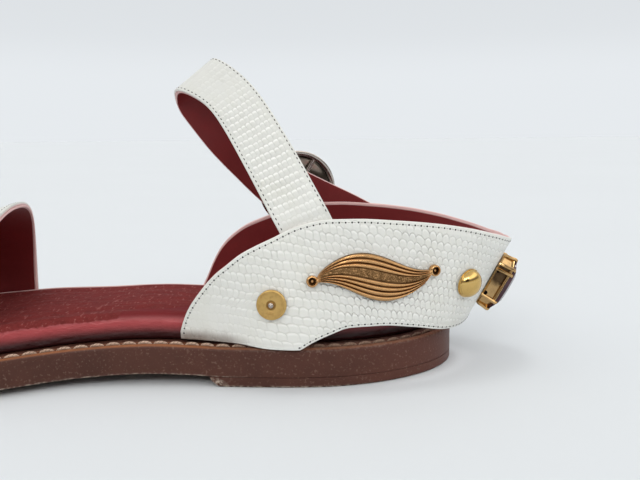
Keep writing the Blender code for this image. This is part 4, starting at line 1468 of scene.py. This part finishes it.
def band_layer(piece, outer, inner, count, rows, sizes, lining):
    """One layer of the heel band between two depths, from the near panel's front round the heel to the far
    one's. Wear is the flatness of the outer leather's scales, or the nearness to the lining's edge."""
    share = np.linspace(0.0, 1.0, count)
    run = arc_length(band_line(count))[:count, None]
    halves = []
    for side in (-1, 1):
        low, high = band_edges(share, side)
        height, depth = layer_ring(low, high, outer, inner, rows)
        here, _, _, out = band_frame(share[:, None], height, side)
        from_top = high[:, None] - height
        if lining:
            wear = np.clip(1 - np.minimum(from_top, run) / LINING_RUB, 0.0, 1.0)
        else:
            low_front = (1 - ease(run, 0.022, 0.036)) * (1 - ease(height, 0.026, 0.036))
            margin = 1 - ease(from_top, 0.0014, 0.0026)
            foot = 1 - ease(height - low[:, None], 0.0012, 0.0028)
            wear = np.maximum(0.22 + 0.50 * low_front, np.maximum(margin, 0.8 * foot))
        columns, levels = band_pattern(run, height, sizes)
        halves.append((here - out * depth[..., None], columns, levels, depth, wear))
    points, columns, levels, depth, wear = (np.concatenate([a, b[-2::-1]]) for a, b in zip(*halves))
    add_layer(piece, points, np.stack([columns, levels, depth], axis=-1), rows, wear)


def band_line(count):
    """Line round the band at half its height, from the near panel's front to the far one's."""
    share = np.linspace(0.0, 1.0, count)
    level = (BAND_FOOT_Z + BAND_HEAD_Z) / 2
    return np.concatenate([band_surface(share, level, -1), band_surface(share, level, 1)[-2::-1]])


def strap_layer(piece, row, front, back, lift, outer, inner, rows, sizes, lining):
    """One layer of a strip along the strap's line: places across it, depths below its outer face. Wear is
    as in the band's layers."""
    here, wide, out = strap_line(row)
    place, depth = layer_ring(-front, back, outer, inner, rows)
    level = lift + STRAP_THICKNESS / 2 - depth
    points = here[:, None] + wide[:, None] * place[..., None] + out[:, None] * level[..., None]
    run = np.broadcast_to(arc_length(here)[:, None], place.shape)
    lay = np.stack([place / sizes.strap_scale, run / sizes.strap_row, depth], axis=-1)
    from_edge = np.minimum(place + front[:, None], back[:, None] - place)
    if lining:
        wear = 1 - ease(from_edge, 0.0001, 0.0006)
    else:
        polish = ease(run, 0.050, 0.070) * (1 - ease(run, 0.110, 0.125))
        low = 1 - ease(run, 0.014, 0.026)
        margin = 1 - ease(from_edge, 0.0014, 0.0024)
        wear = np.maximum(np.maximum(0.88 * polish, 0.55 * low), margin)
    add_layer(piece, points, lay, rows, wear)


class SANDAL_OT_upper(bpy.types.Operator):
    """Heel band, ankle strap and its free tip, each of white leather over a red lining"""

    bl_idname = "sandal.upper"
    bl_label = "Upper"

    def execute(self, context):
        sizes = context.scene.sandal_sizes
        layer = sizes.outer_layer
        piece = Piece()
        band_layer(piece, 0.0, layer, BAND_STATIONS, BAND_ROWS, sizes, lining=False)
        band = piece.make("heel_band", [palette("white_band")], ["upper"])

        def corner_soil(places):
            """Dirt on the low front corner of the near panel."""
            ahead = HEEL_BACK_X - places[:, 0]
            near = places[:, 1] < 0
            low = 1 - ease(places[:, 2], *CORNER_SOIL_HEIGHT)
            return near * low * ease(ahead, *CORNER_SOIL_AHEAD)

        put_soil_and_highlight(band, corner_soil)
        piece = Piece()
        band_layer(piece, layer, BAND_WALL, BAND_STATIONS, BAND_LINING_ROWS, sizes, lining=True)
        piece.make("band_lining", [palette("red_lining")], ["upper"])
        row = np.linspace(0.0, len(STRAP_ROWS) - 1, 240)
        front, back = strap_column("front_half", row), np.full(len(row), STRAP_BACK_HALF)
        split = STRAP_OUTER_SHARE * STRAP_THICKNESS
        tip_row = np.linspace(TIP_FIRST_ROW, TIP_LAST_ROW, 60)
        tip_half = TIP_HALF * np.maximum(rounded(TIP_LAST_ROW - tip_row, TIP_ROUND, 2.0), TIP_BLUNT)
        for name, ends, lift in (
            ("ankle_strap", (row, front, back), 0.0),
            ("strap_tip", (tip_row, tip_half, tip_half), TIP_LIFT),
        ):
            piece = Piece()
            strap_layer(piece, *ends, lift, 0.0, split, STRAP_LAYER_ROWS, sizes, lining=False)
            piece.make(name, [palette("white_strap")], ["upper"])
            piece = Piece()
            strap_layer(piece, *ends, lift, split, STRAP_THICKNESS, STRAP_LAYER_ROWS, sizes, lining=True)
            piece.make(f"{name}_lining", [palette("red_lining")], ["upper"])
        return {"FINISHED"}


class SANDAL_OT_toe_band(bpy.types.Operator):
    """Toe band of white leather over a red lining"""

    bl_idname = "sandal.toe_band"
    bl_label = "Toe band"

    def execute(self, context):
        sizes = context.scene.sandal_sizes
        layer = sizes.outer_layer
        across = np.linspace(0.0, 1.0, 150)
        length = TOE_BAND_FRONT - TOE_BAND_BACK
        # Depths, points across, finish, slot (not read), and the distances from the edge over which the wear
        # fades
        layers = (
            ("toe_band_leather", 0.0, layer, 34, "white_strap", "white_leather", (0.0014, 0.0024)),
            ("toe_band_lining", layer, TOE_BAND_WALL, 16, "red_lining", "red_leather", (0.0002, 0.0011)),
        )
        for name, outer, inner, rows, finish, slot, edge_wear in layers:
            place, depth = layer_ring(np.zeros(len(across)), length, outer, inner, rows)
            along = place / length
            turn = np.clip(across, 0.004, 0.996)[:, None]
            step = 1e-3
            here = toe_band_surface(across[:, None], along)
            over = toe_band_surface(turn + step, along) - toe_band_surface(turn - step, along)
            ahead = toe_band_surface(turn, along + step) - toe_band_surface(turn, along - step)
            out = unit(np.cross(ahead, over))
            middle = world(0.5 * (TOE_BAND_BACK + TOE_BAND_FRONT), 0.0, 0.0)
            out = out * np.sign(np.sum(out * (here - middle), axis=-1))[..., None]
            points = here - out * depth[..., None]
            points[..., 2] = np.maximum(points[..., 2], here[[0, -1]][:, :, 2].min())
            run = arc_length(toe_band_surface(across, 0.5))[:, None]
            columns = np.broadcast_to(run / sizes.strap_scale, place.shape)
            lay = np.stack([columns, place / sizes.strap_row, depth], axis=-1)
            from_edge = np.minimum(place, length - place)
            piece = Piece()
            add_layer(piece, points, lay, rows, 1 - ease(from_edge, *edge_wear))
            piece.make(name, [palette(finish)], ["toe_band"])
        return {"FINISHED"}


def along_edge(line, pitch):
    """Evenly spaced numbers along a line of points: fractional indices about one pitch apart."""
    run = arc_length(line)
    count = int(round(run[-1] / pitch))
    return np.interp((np.arange(count) + 0.5) * run[-1] / count, run, np.arange(len(line)))


def pick(values, at):
    """Rows of an array at fractional indices."""
    index = np.arange(len(values))
    return np.stack([np.interp(at, index, column) for column in values.T], axis=1)


class SANDAL_OT_fine_seams(bpy.types.Operator):
    """Fine dark seams along the edges of the band, the strap and the toe band"""

    bl_idname = "sandal.fine_seams"
    bl_label = "Fine seams"

    def execute(self, context):
        sizes = context.scene.sandal_sizes
        self.band_seams(sizes.seam_inset, sizes.seam_pitch)
        self.strap_seams(sizes.seam_inset, STRAP_SEAM_PITCH * sizes.seam_pitch)
        self.toe_band_seams(sizes.seam_inset, STRAP_SEAM_PITCH * sizes.seam_pitch)
        return {"FINISHED"}

    def band_seams(self, inset, pitch):
        """Seams along the band's upper edge and along its arch, with a faint thread from stitch to stitch."""
        piece = Piece()
        lines = []
        for top, start in ((True, 0.0), (False, ARCH_SEAM_FROM)):
            share = start + (1 - start) * np.linspace(0.0, 1.0, 300) ** 1.5
            halves = []
            for side in (-1, 1):
                low, high = band_edges(share, side)
                at, height = share, high if top else low
                if top:
                    climb = np.linspace(low[0] + FRONT_SEAM_FOOT, high[0], 14)[:-1]
                    at, height = np.concatenate([0 * climb, share]), np.concatenate([climb, high])
                edge, back, up, out = band_frame(at, height, side)
                run = unit(np.gradient(edge, axis=0))
                inward = np.cross(run, out) * (-side if top else side)
                lean = np.sum(inward * back, axis=1) / np.sum(back * back, axis=1)
                rise = np.sum(inward * up, axis=1) / np.sum(up * up, axis=1)
                inward_by = inset if top else ARCH_SEAM_INSET * inset
                here, _, _, out = band_frame(at + inward_by * lean, height + inward_by * rise, side)
                halves.append(np.concatenate([here, run, out], axis=1))
            lines.append(np.concatenate([halves[0], halves[1][-2::-1]]))
        for line, stitch in zip(lines, (TOP_STITCH, ARCH_STITCH)):
            at = along_edge(line[:, :3], pitch)
            self.sew(piece, pick(line, at), *stitch)
            self.sew(piece, pick(line, (at[1:] + at[:-1]) / 2), *LINK_STITCH, slot=1)
        piece.make("band_seams", [palette("seam_thread"), palette("seam_grey")])

    def strap_seams(self, inset, pitch):
        """Seams along both edges of the strap."""
        piece = Piece()
        row = np.linspace(*STRAP_SEAM_ROWS, 600)
        here, wide, out = strap_line(row)
        front = inset - strap_column("front_half", row)
        back = np.full(len(row), STRAP_BACK_HALF - STRAP_SEAM_INSET * inset)
        for place in (front, back):
            line = here + wide * place[:, None] + out * STRAP_THICKNESS / 2
            line = np.concatenate([line, unit(np.gradient(line, axis=0)), out], axis=1)
            self.sew(piece, pick(line, along_edge(line[:, :3], pitch)), *STRAP_STITCH)
        piece.make("strap_seams", [palette("seam_thread")])

    def toe_band_seams(self, inset, pitch):
        """Seams along both edges of the toe band."""
        piece = Piece()
        across = np.linspace(0.02, 0.98, 400)
        length = TOE_BAND_FRONT - TOE_BAND_BACK
        for along in (inset / length, 1 - inset / length):
            step = 1e-3
            line = toe_band_surface(across, along)
            over = np.gradient(line, axis=0)
            ahead = toe_band_surface(across, along + step) - toe_band_surface(across, along - step)
            out = unit(np.cross(over, ahead))
            out = out * np.sign(out[:, 2:] + 1e-9)
            line = np.concatenate([line, unit(over), out], axis=1)
            self.sew(piece, pick(line, along_edge(line[:, :3], pitch)), *STRAP_STITCH)
        piece.make("toe_band_seams", [palette("seam_thread")])

    @staticmethod
    def sew(piece, found, long, wide, slot=0):
        """Adds one small stitch at each found point, lying along the edge and half sunk in the leather."""
        along, out = unit(found[:, 3:6]), unit(found[:, 6:])
        points, quads = beads(found[:, :3], along, out, long, wide, STITCH_HEIGHT)
        piece.add(points, quads, slot=slot)


def leaf_half(t):
    """Reach of one edge of the leaf: a sine bump that leans to its start and tapers to its end."""
    return np.clip(np.sin(math.pi * t**LEAF_LEAN), 0.0, 1.0) ** (1 + t)


def eyelet_profile():
    """A ring with a rounded rim and a small headed pin deep in its hollow, as (radius, height) from the
    top."""
    r, h = EYELET_RADIUS, EYELET_THICKNESS
    return (
        (0.0, 0.62 * h),
        (0.14 * r, 0.60 * h),
        (0.24 * r, 0.50 * h),
        (0.28 * r, 0.24 * h),
        (0.52 * r, 0.20 * h),
        (0.58 * r, 0.80 * h),
        (0.68 * r, 0.99 * h),
        (0.82 * r, 0.98 * h),
        (0.95 * r, 0.80 * h),
        (r, 0.5 * h),
        (r, 0.0),
        (0.0, 0.0),
    )


class SANDAL_OT_leaves(bpy.types.Operator):
    """Metal leaves: a domed S-shaped field between raised ribs that follow its edges"""

    bl_idname = "sandal.leaves"
    bl_label = "Leaves"

    def execute(self, context):
        for label, side in (("near", -1), ("far", 1)):
            piece = Piece()
            self.body(piece, side)
            for d, z in (LEAF_START, LEAF_END):
                ring = turned(eyelet_profile(), 28)
                depth = np.linalg.norm(ring[..., :2], axis=-1)
                hollow = ((depth > 0.20 * EYELET_RADIUS) & (depth < 0.57 * EYELET_RADIUS)).astype(float)
                piece.grid(seated(ring, d, z, side, 2 * GAP), wear=hollow, wrap_columns=True)
            finish = [palette("antique_copper")]
            piece.make(f"leaf_{label}_relief", finish, [f"leaf_{label}"], 60.0)
        return {"FINISHED"}

    @staticmethod
    def body(piece, side):
        """Across the leaf a runs from -1 to 1: a sunk, stippled field in the middle, three ribs above it,
        four below. A rib is a half wave, |sin|, whose height fades towards the leaf's ends."""
        t = np.linspace(0.0, 1.0, 110)[:, None]
        a = np.linspace(-1.0, 1.0, 121)[None, :]
        upper = LEAF_TIP + LEAF_UPPER * leaf_half(t)
        lower = -LEAF_TIP - LEAF_LOWER * leaf_half(1 - t)
        along = LEAF_BODY[0] + t * (LEAF_BODY[1] - LEAF_BODY[0])
        ahead = LEAF_START[0] + along * (LEAF_END[0] - LEAF_START[0])
        level = LEAF_START[1] + along * (LEAF_END[1] - LEAF_START[1]) + lower + (a + 1) / 2 * (upper - lower)
        here, _, _, out = band_frame(band_share(ahead, level), level, side)
        field_low, field_high = LEAF_FIELD
        below = np.clip((field_low - a) / (field_low + 1), 0.0, 1.0)
        above = np.clip((a - field_high) / (1 - field_high), 0.0, 1.0)
        in_field = ease(a, field_low - 0.03, field_low + 0.05)
        in_field = in_field * (1 - ease(a, field_high - 0.05, field_high + 0.03))
        ribs_below = np.abs(np.sin(LEAF_RIBS_BELOW * math.pi * below))
        ribs_above = np.abs(np.sin(LEAF_RIBS_ABOVE * math.pi * above))
        rib = np.where(below > 0, ribs_below, ribs_above) * (np.maximum(below, above) > 0)
        fade = ease(t, 0.0, 0.07) * (1 - ease(t, 0.93, 1.0))
        dome = LEAF_THICKNESS * (LEAF_EDGE + (1 - LEAF_EDGE) * np.sqrt(np.maximum(1 - a * a, 0.0)))
        relief = fade * (LEAF_RIB * (rib - 0.6) * (1 - in_field) - LEAF_FIELD_DEPTH * in_field)
        top = here + out * (2 * GAP + np.maximum(dome + relief, LEAF_THINNEST))[..., None]
        shade = fade * np.clip(0.78 * in_field + (1 - ease(rib, 0.20, 0.60)) * (1 - in_field), 0.0, 1.0)
        under = here + out * GAP * 2
        stations, columns = top.shape[:2]
        ring = np.concatenate([top, under[:, ::-1]], axis=1)
        face = np.broadcast_to(shade, (stations, columns))
        wear = np.concatenate([face, np.zeros(face.shape)], axis=1)
        lay = 0.0 * ring
        lay[:, :columns, 2] = in_field * fade
        cap = ring_cap(2 * columns)
        quads = grid_quads(stations, 2 * columns, wrap_columns=True)
        piece.add(ring, np.concatenate([quads, cap, cap + (stations - 1) * 2 * columns]), lay, wear)


class SANDAL_OT_studs(bpy.types.Operator):
    """Turned studs: a flat one with a round pin, and a domed one with a thin rim"""

    bl_idname = "sandal.studs"
    bl_label = "Studs"

    def execute(self, context):
        r, h, pin = FLAT_STUD_RADIUS, FLAT_STUD_THICKNESS, FLAT_STUD_PIN
        ball = [(x, h + z) for x, z in quarter(0.9 * pin, pin, 9)]
        dish = [(0.95 * pin, 0.93 * h), (1.25 * pin, 0.92 * h), (1.4 * pin, 0.97 * h)]
        rim = [(0.88 * r, h), (0.93 * r, 1.03 * h), (0.97 * r, 0.96 * h), (r, 0.70 * h), (r, 0.0), (0.0, 0.0)]
        flat = turned(ball + dish + rim, 48)
        middle = np.linalg.norm(flat[..., :2], axis=-1)
        groove = 1.0 * ((middle > 0.92 * pin) & (middle < 1.3 * pin))
        groove += 0.3 * (np.abs(middle - 0.88 * r) < 1e-6)
        slot = (np.arange(len(flat) - 1) < len(ball) - 1).astype(int).repeat(flat.shape[1])
        quads = grid_quads(*flat.shape[:2], wrap_columns=True)
        r, h = DOME_STUD_RADIUS, DOME_STUD_HEIGHT
        dome = [(x, 0.10 * h + 0.90 * z) for x, z in quarter(0.97 * r, h, 18)]
        dome = turned(dome + [(r, 0.10 * h), (r, 0.0), (0.0, 0.0)], 48)
        for label, side in (("near", -1), ("far", 1)):
            piece = Piece()
            piece.add(seated(flat, *FLAT_STUD_AT, side, 1.5 * GAP), quads, wear=groove, slot=slot)
            finish = [palette("scratched_gold"), palette("polished_grey")]
            piece.make(f"flat_stud_{label}_head", finish, [f"flat_stud_{label}"])
            piece = Piece()
            piece.grid(seated(dome, *DOME_STUD_AT, side, GAP), wrap_columns=True)
            finish = [palette("polished_gold")]
            piece.make(f"dome_stud_{label}_head", finish, [f"dome_stud_{label}"])
        return {"FINISHED"}


def cut_corner(long, wide, corner):
    """Corners of a rectangle with cut corners, in order round it."""
    a, b = long / 2, wide / 2
    half = [(b, a - corner), (b - corner, a), (corner - b, a), (-b, a - corner)]
    return np.array(half + [(-x, -y) for x, y in half])


def sampled(corners, per_side):
    """Points along the sides of a closed line of corners, per_side for each, starting at each corner."""
    share = np.linspace(0.0, 1.0, per_side, endpoint=False)[None, :, None]
    following = np.roll(corners, -1, axis=0)
    return (corners[:, None] * (1 - share) + following[:, None] * share).reshape(-1, 2)


def jewel_window(flat):
    """1 along the middle of the jewel's long sides, 0 towards its cut corners."""
    return ease(JEWEL_LONG / 2 - JEWEL_CORNER - np.abs(flat[..., 1]), *WINDOW_RIM)


def jewel_outline(grow, sunk=0.0):
    """Outline of the jewel, grown by so much. Sunk presses the middle of its long sides in."""
    flat = sampled(cut_corner(JEWEL_LONG + grow, JEWEL_WIDE + grow, JEWEL_CORNER), 24)
    flat[:, 0] -= np.sign(flat[:, 0]) * sunk * jewel_window(flat)
    return flat


def jewel_ring(grow, depth, sunk=0.0):
    """A level ring at one depth."""
    flat = jewel_outline(grow, sunk)
    return np.concatenate([flat, np.full((len(flat), 1), depth)], axis=1)


def jewel_saddle(grow, lift, sunk=0.0):
    """A ring that follows the heel's round back: z = lift - x^2 / 2 r."""
    flat = jewel_outline(grow, sunk)
    return np.concatenate([flat, GAP + lift - flat[:, :1] ** 2 / (2 * JEWEL_SADDLE)], axis=1)


def on_heel(points):
    """Moves points made about Z to the middle of the heel's back."""
    return seated(points, -BAND_HEAD_BACK, JEWEL_HEIGHT, -1, GAP)


def add_caps(piece, rings):
    """Closes the first and the last ring almost to their middles."""
    for end in (rings[0], rings[-1]):
        cap = np.stack([end, end * (0.02, 0.02, 1.0)])
        piece.grid(on_heel(cap), wrap_columns=True)


class SANDAL_OT_jewel(bpy.types.Operator):
    """Step-cut stone in a box setting: walls with sunk windows and bores, and strips that grip the stone"""

    bl_idname = "sandal.jewel"
    bl_label = "Jewel"

    def execute(self, context):
        self.setting()
        self.stone()
        return {"FINISHED"}

    def setting(self):
        """The box, its bores and its strips."""
        flare, sunk = JEWEL_FLARE, WINDOW_SUNK
        walls = np.stack(
            [
                jewel_saddle(-12 * flare, 0.0),
                jewel_saddle(-2 * flare, 0.0),
                jewel_saddle(-1.4 * flare, 0.0006),
                jewel_saddle(-1.4 * flare, 0.0008, sunk),
                jewel_ring(-1.2 * flare, SETTING_DEPTH - 0.0010, sunk),
                jewel_ring(-0.8 * flare, SETTING_DEPTH - 0.0008),
                jewel_ring(0.0, SETTING_DEPTH - 0.0002),
                jewel_ring(-0.4 * flare, SETTING_DEPTH),
                jewel_ring(-12 * flare, SETTING_DEPTH),
            ]
        )
        # Painted reflection: the sunk windows are dark towards their upper end and golden towards the lower.
        in_window = np.zeros(walls.shape[:2])
        in_window[3:5] = jewel_window(walls[3:5])
        shade = in_window * (0.20 + 0.75 * ease(walls[..., 1], -0.0025, 0.0012))
        piece = Piece()
        piece.grid(on_heel(walls), wear=shade, wrap_columns=True)
        # The bores are shallow dents painted black as shade.
        hole = turned(quarter(BORE_RADIUS, BORE_DEPTH, 5), 14)[..., [2, 0, 1]]
        for side in (-1, 1):
            for end in BORES_AT:
                at = (side * (JEWEL_WIDE / 2 - 0.7 * flare - sunk), end, -0.0001)
                piece.grid(on_heel(hole * (side, 1, 1) + at), slot=1, wrap_columns=True)
        add_caps(piece, walls)
        corners = cut_corner(JEWEL_LONG, JEWEL_WIDE, JEWEL_CORNER)
        second = corners[[0, 3]] - (0.0, SECOND_BAR)
        for corner in np.concatenate([corners, second]):
            piece.grid(on_heel(self.strip(corner)), wrap_columns=True)
        finish = [palette("worn_gold_painted_reflection"), palette("bore_painted_shade")]
        piece.make("jewel_box", finish, ["jewel_setting"], 35.0)

    @staticmethod
    def stone():
        """The stone: stepped facets from its seat over its girdle to its table."""
        flare = JEWEL_FLARE
        seat_at = SETTING_DEPTH + GAP
        girdle = SETTING_DEPTH + STONE_DEPTH / 3
        table = SETTING_DEPTH + STONE_DEPTH
        mid = (girdle + table) / 2
        # Growth of the outline, depth, and paleness of the facet's edge
        levels = (
            (-12 * flare, seat_at, 0.0),
            (-2 * flare, seat_at, 0.0),
            (-flare, girdle - 0.0001, 0.6),
            (-flare, girdle, 1.0),
            (-1.25 * flare, girdle + 0.00012, 0.5),
            (-4 * flare, mid, 0.6),
            (-4.2 * flare, mid + 0.0001, 1.0),
            (-7.6 * flare, table - 0.0001, 0.9),
            (-8 * flare, table, 1.0),
            (-8.6 * flare, table, 0.0),
            (-14 * flare, table, 0.0),
        )
        rings = np.stack([jewel_ring(grow, depth) for grow, depth, _ in levels])
        bulge = 1 - (2 * rings[..., 1] / JEWEL_LONG) ** 2
        rings[2:, :, 2] += STONE_BULGE * bulge[2:]
        shade = np.array([row[2] for row in levels])[:, None] + np.zeros(rings.shape[1])
        piece = Piece()
        piece.grid(on_heel(rings), wear=shade, wrap_columns=True)
        add_caps(piece, rings)
        piece.make("jewel_cut_stone", [palette("polished_stone")], ["jewel_stone"], 12.0)

    @staticmethod
    def strip(corner):
        """A gripping strip at a corner of the setting: a round bar up the wall, bent in over the girdle."""
        out = corner / np.linalg.norm(corner)
        # Level, shift outwards and radius
        rows = (
            (0.0004, -0.0009, 0.0005),
            (0.0012, -0.0005, 0.0006),
            (0.0026, -0.0003, 0.0006),
            (SETTING_DEPTH, 0.0, 0.0006),
            (SETTING_DEPTH + 0.0008, -0.0003, 0.0006),
            (SETTING_DEPTH + 0.0013, -0.0012, 0.0003),
        )
        level, pull, radius = np.array(rows).T
        base = level - (level < 0.002) * corner[0] ** 2 / (2 * JEWEL_SADDLE)
        centre = corner + out * pull[:, None]
        angle = np.linspace(0.0, 2 * math.pi, 8, endpoint=False)
        side = np.array([-out[1], out[0]])
        flat = out * np.cos(angle)[:, None] + side * np.sin(angle)[:, None]
        body = centre[:, None] + radius[:, None, None] * flat
        depth = np.broadcast_to(base[:, None, None], body.shape[:2] + (1,))
        return capped(np.concatenate([body, depth], axis=-1))


class SANDAL_OT_buckle(bpy.types.Operator):
    """Round domed buckle, hollow behind, with a rolled rim and its bar"""

    bl_idname = "sandal.buckle"
    bl_label = "Buckle"

    def execute(self, context):
        here, wide, out = (v[0] for v in strap_line(np.array([BUCKLE_ROW])))
        turn = np.stack([wide, np.cross(out, wide), out])
        lift = TIP_LIFT + STRAP_THICKNESS / 2 + BUCKLE_CLEARANCE
        origin = here + out * lift
        outer = quarter(BUCKLE_RADIUS, BUCKLE_DEPTH, 26)
        lip = [(BUCKLE_RADIUS - share * BUCKLE_RIM, -0.00025) for share in (0.25, 0.7)]
        inner = quarter(BUCKLE_RADIUS - BUCKLE_RIM, BUCKLE_DEPTH - BUCKLE_WALL, 20)[::-1]
        shell = turned(outer + lip + inner, 72)
        hollow = np.zeros(shell.shape[:2])
        hollow[len(outer) + 3 :] = 0.05
        hollow[len(outer) + 2 : len(outer) + 5] = 0.8
        piece = Piece()
        piece.grid(origin + shell @ turn, wear=hollow, wrap_columns=True)
        angle = np.linspace(0.0, 2 * math.pi, 14, endpoint=False)
        reach = BUCKLE_RADIUS - BUCKLE_WALL
        x = np.linspace(-reach, reach, 12)[:, None]
        y = BAR_RADIUS * np.cos(angle)
        z = BAR_RADIUS + BAR_INSET + BAR_RADIUS * np.sin(angle)
        bar = capped(np.stack(np.broadcast_arrays(x, y, z), axis=-1))
        piece.grid(origin + bar @ turn, wrap_columns=True)
        piece.make("buckle_dome", [palette("polished_grey")], ["buckle"])
        return {"FINISHED"}


class SANDAL_OT_stage(bpy.types.Operator):
    """Pale floor, soft light and the photo's camera"""

    bl_idname = "sandal.stage"
    bl_label = "Stage"

    def execute(self, context):
        scene, stage = context.scene, context.scene.sandal_stage
        self.floor(stage)
        self.lights(scene, stage)
        self.camera(scene)
        scene.view_settings.view_transform = "Standard"
        return {"FINISHED"}

    @staticmethod
    def floor(stage):
        """A flat square, so wide that its rim lies near the horizon."""
        reach = np.array([-FLOOR_REACH, FLOOR_REACH])
        points = np.stack(np.broadcast_arrays(reach[None, :], reach[:, None], 0.0), axis=-1)
        mesh = bpy.data.meshes.new("studio_floor")
        mesh.from_pydata(points.reshape(-1, 3), [], grid_quads(2, 2).tolist())
        made, t = new_material("studio_paper", Roughness=1.0, Specular_IOR_Level=0.0)
        cloud = t.patches(t.place(), 3.0, 0.3, 0.7)
        pale = stage.floor
        t.surface(Base_Color=t.mix(cloud, pale, toned(pale, 0.99)))
        mesh.materials.append(made)
        paper = bpy.data.objects.new("studio_floor", mesh)
        bpy.context.scene.collection.objects.link(paper)

    @staticmethod
    def lights(scene, stage):
        """A pale room, a little brighter low down, with a bank of light in front that is dark below and in
        its middle and has three small windows, and one sun that stands almost overhead."""
        room = bpy.data.worlds.new("room")
        room.use_nodes = True
        t = Tree(room.node_tree)
        ground = room.node_tree.nodes["Background"]
        ray = t.node("TexCoord").outputs["Generated"]
        split = t.split(ray)
        front = t.ease(split[1], 0.50, -0.10)
        bank = t.mix(t.ease(split[0], -0.75, 0.75), BANK_LEFT, BANK_RIGHT)
        bank = t.mix(t.ease(split[2], 0.27, 0.46), BELOW_BANK, bank)
        low = toned(stage.backdrop, 1.09)
        back = t.mix(t.ease(split[2], 0.0, 0.2), low, stage.backdrop)
        colour = t.mix(front, back, bank)
        colour = t.mix(t.ease(split[2], 0.64, 0.84), colour, CEILING)
        colour = t.mix(t.cone(ray, DARK_MIDDLE_AT, 21, 14), colour, DARK_MIDDLE)
        colour = t.mix(t.ease(split[2], 0.14, 0.07), colour, low)
        for way in WINDOWS_AT:
            colour = t.mix(t.cone(ray, way, 8, 5), colour, WINDOW)
        t.put(ground.inputs["Color"], colour)
        scene.world = room
        lamp = bpy.data.lights.new("soft_sun", "SUN")
        lamp.energy = stage.sun
        lamp.angle = math.radians(SUN_ANGLE)
        made = bpy.data.objects.new("soft_sun", lamp)
        backward = unit(np.array(SUN_AT))
        side = unit(np.cross((0.0, 0.0, 1.0), backward))
        axes = np.stack([side, np.cross(backward, side), backward], axis=1)
        made.matrix_world = Matrix(axes.tolist()).to_4x4()
        scene.collection.objects.link(made)

    @staticmethod
    def camera(scene):
        """Camera that looks along (sin yaw cos down, cos yaw cos down, -sin down), rolled about that way."""
        yaw, down, roll = (math.radians(v) for v in (CAMERA_YAW, CAMERA_DOWN, CAMERA_ROLL))
        level = math.cos(down)
        forward = np.array([math.sin(yaw) * level, math.cos(yaw) * level, -math.sin(down)])
        right = np.array([math.cos(yaw), -math.sin(yaw), 0.0])
        up = np.cross(right, forward)
        x = math.cos(roll) * right + math.sin(roll) * up
        y = math.cos(roll) * up - math.sin(roll) * right
        lens = bpy.data.cameras.new("photo_camera")
        lens.lens = CAMERA_LENS
        lens.sensor_width = CAMERA_SENSOR
        lens.clip_start = 0.01
        made = bpy.data.objects.new("photo_camera", lens)
        axes = Matrix(np.stack([x, y, -forward], axis=1).tolist()).to_4x4()
        made.matrix_world = Matrix.Translation(CAMERA_AT) @ axes
        scene.collection.objects.link(made)
        scene.camera = made


class SANDAL_PT_panel(bpy.types.Panel):
    """Lists the sizes, the colours and the steps of the build"""

    bl_label = "Sandal"
    bl_idname = "SANDAL_PT_panel"
    bl_space_type = "VIEW_3D"
    bl_region_type = "UI"
    bl_category = "Sandal"

    def draw(self, context):
        for group in (context.scene.sandal_sizes, context.scene.sandal_colours, context.scene.sandal_stage):
            for name in group.__annotations__:
                self.layout.prop(group, name)
        for step in STEPS:
            self.layout.operator(step.bl_idname)


STEPS = (
    SANDAL_OT_finishes,
    SANDAL_OT_sole,
    SANDAL_OT_welt_seam,
    SANDAL_OT_insole,
    SANDAL_OT_upper,
    SANDAL_OT_toe_band,
    SANDAL_OT_fine_seams,
    SANDAL_OT_leaves,
    SANDAL_OT_studs,
    SANDAL_OT_jewel,
    SANDAL_OT_buckle,
    SANDAL_OT_stage,
)
GROUPS = (("sandal_sizes", SandalSizes), ("sandal_colours", SandalColours), ("sandal_stage", SandalStage))


def register():
    for name, group in GROUPS:
        bpy.utils.register_class(group)
        setattr(bpy.types.Scene, name, bpy.props.PointerProperty(type=group))
    for step in (*STEPS, SANDAL_PT_panel):
        bpy.utils.register_class(step)


def unregister():
    for step in (SANDAL_PT_panel, *reversed(STEPS)):
        bpy.utils.unregister_class(step)
    for name, group in reversed(GROUPS):
        delattr(bpy.types.Scene, name)
        bpy.utils.unregister_class(group)


def main():
    """Builds the sandal step by step."""
    register()
    bpy.ops.sandal.finishes()
    bpy.ops.sandal.sole()
    bpy.ops.sandal.welt_seam()
    bpy.ops.sandal.insole()
    bpy.ops.sandal.upper()
    bpy.ops.sandal.toe_band()
    bpy.ops.sandal.fine_seams()
    bpy.ops.sandal.leaves()
    bpy.ops.sandal.studs()
    bpy.ops.sandal.jewel()
    bpy.ops.sandal.buckle()
    bpy.ops.sandal.stage()


if __name__ == "__main__":
    main()
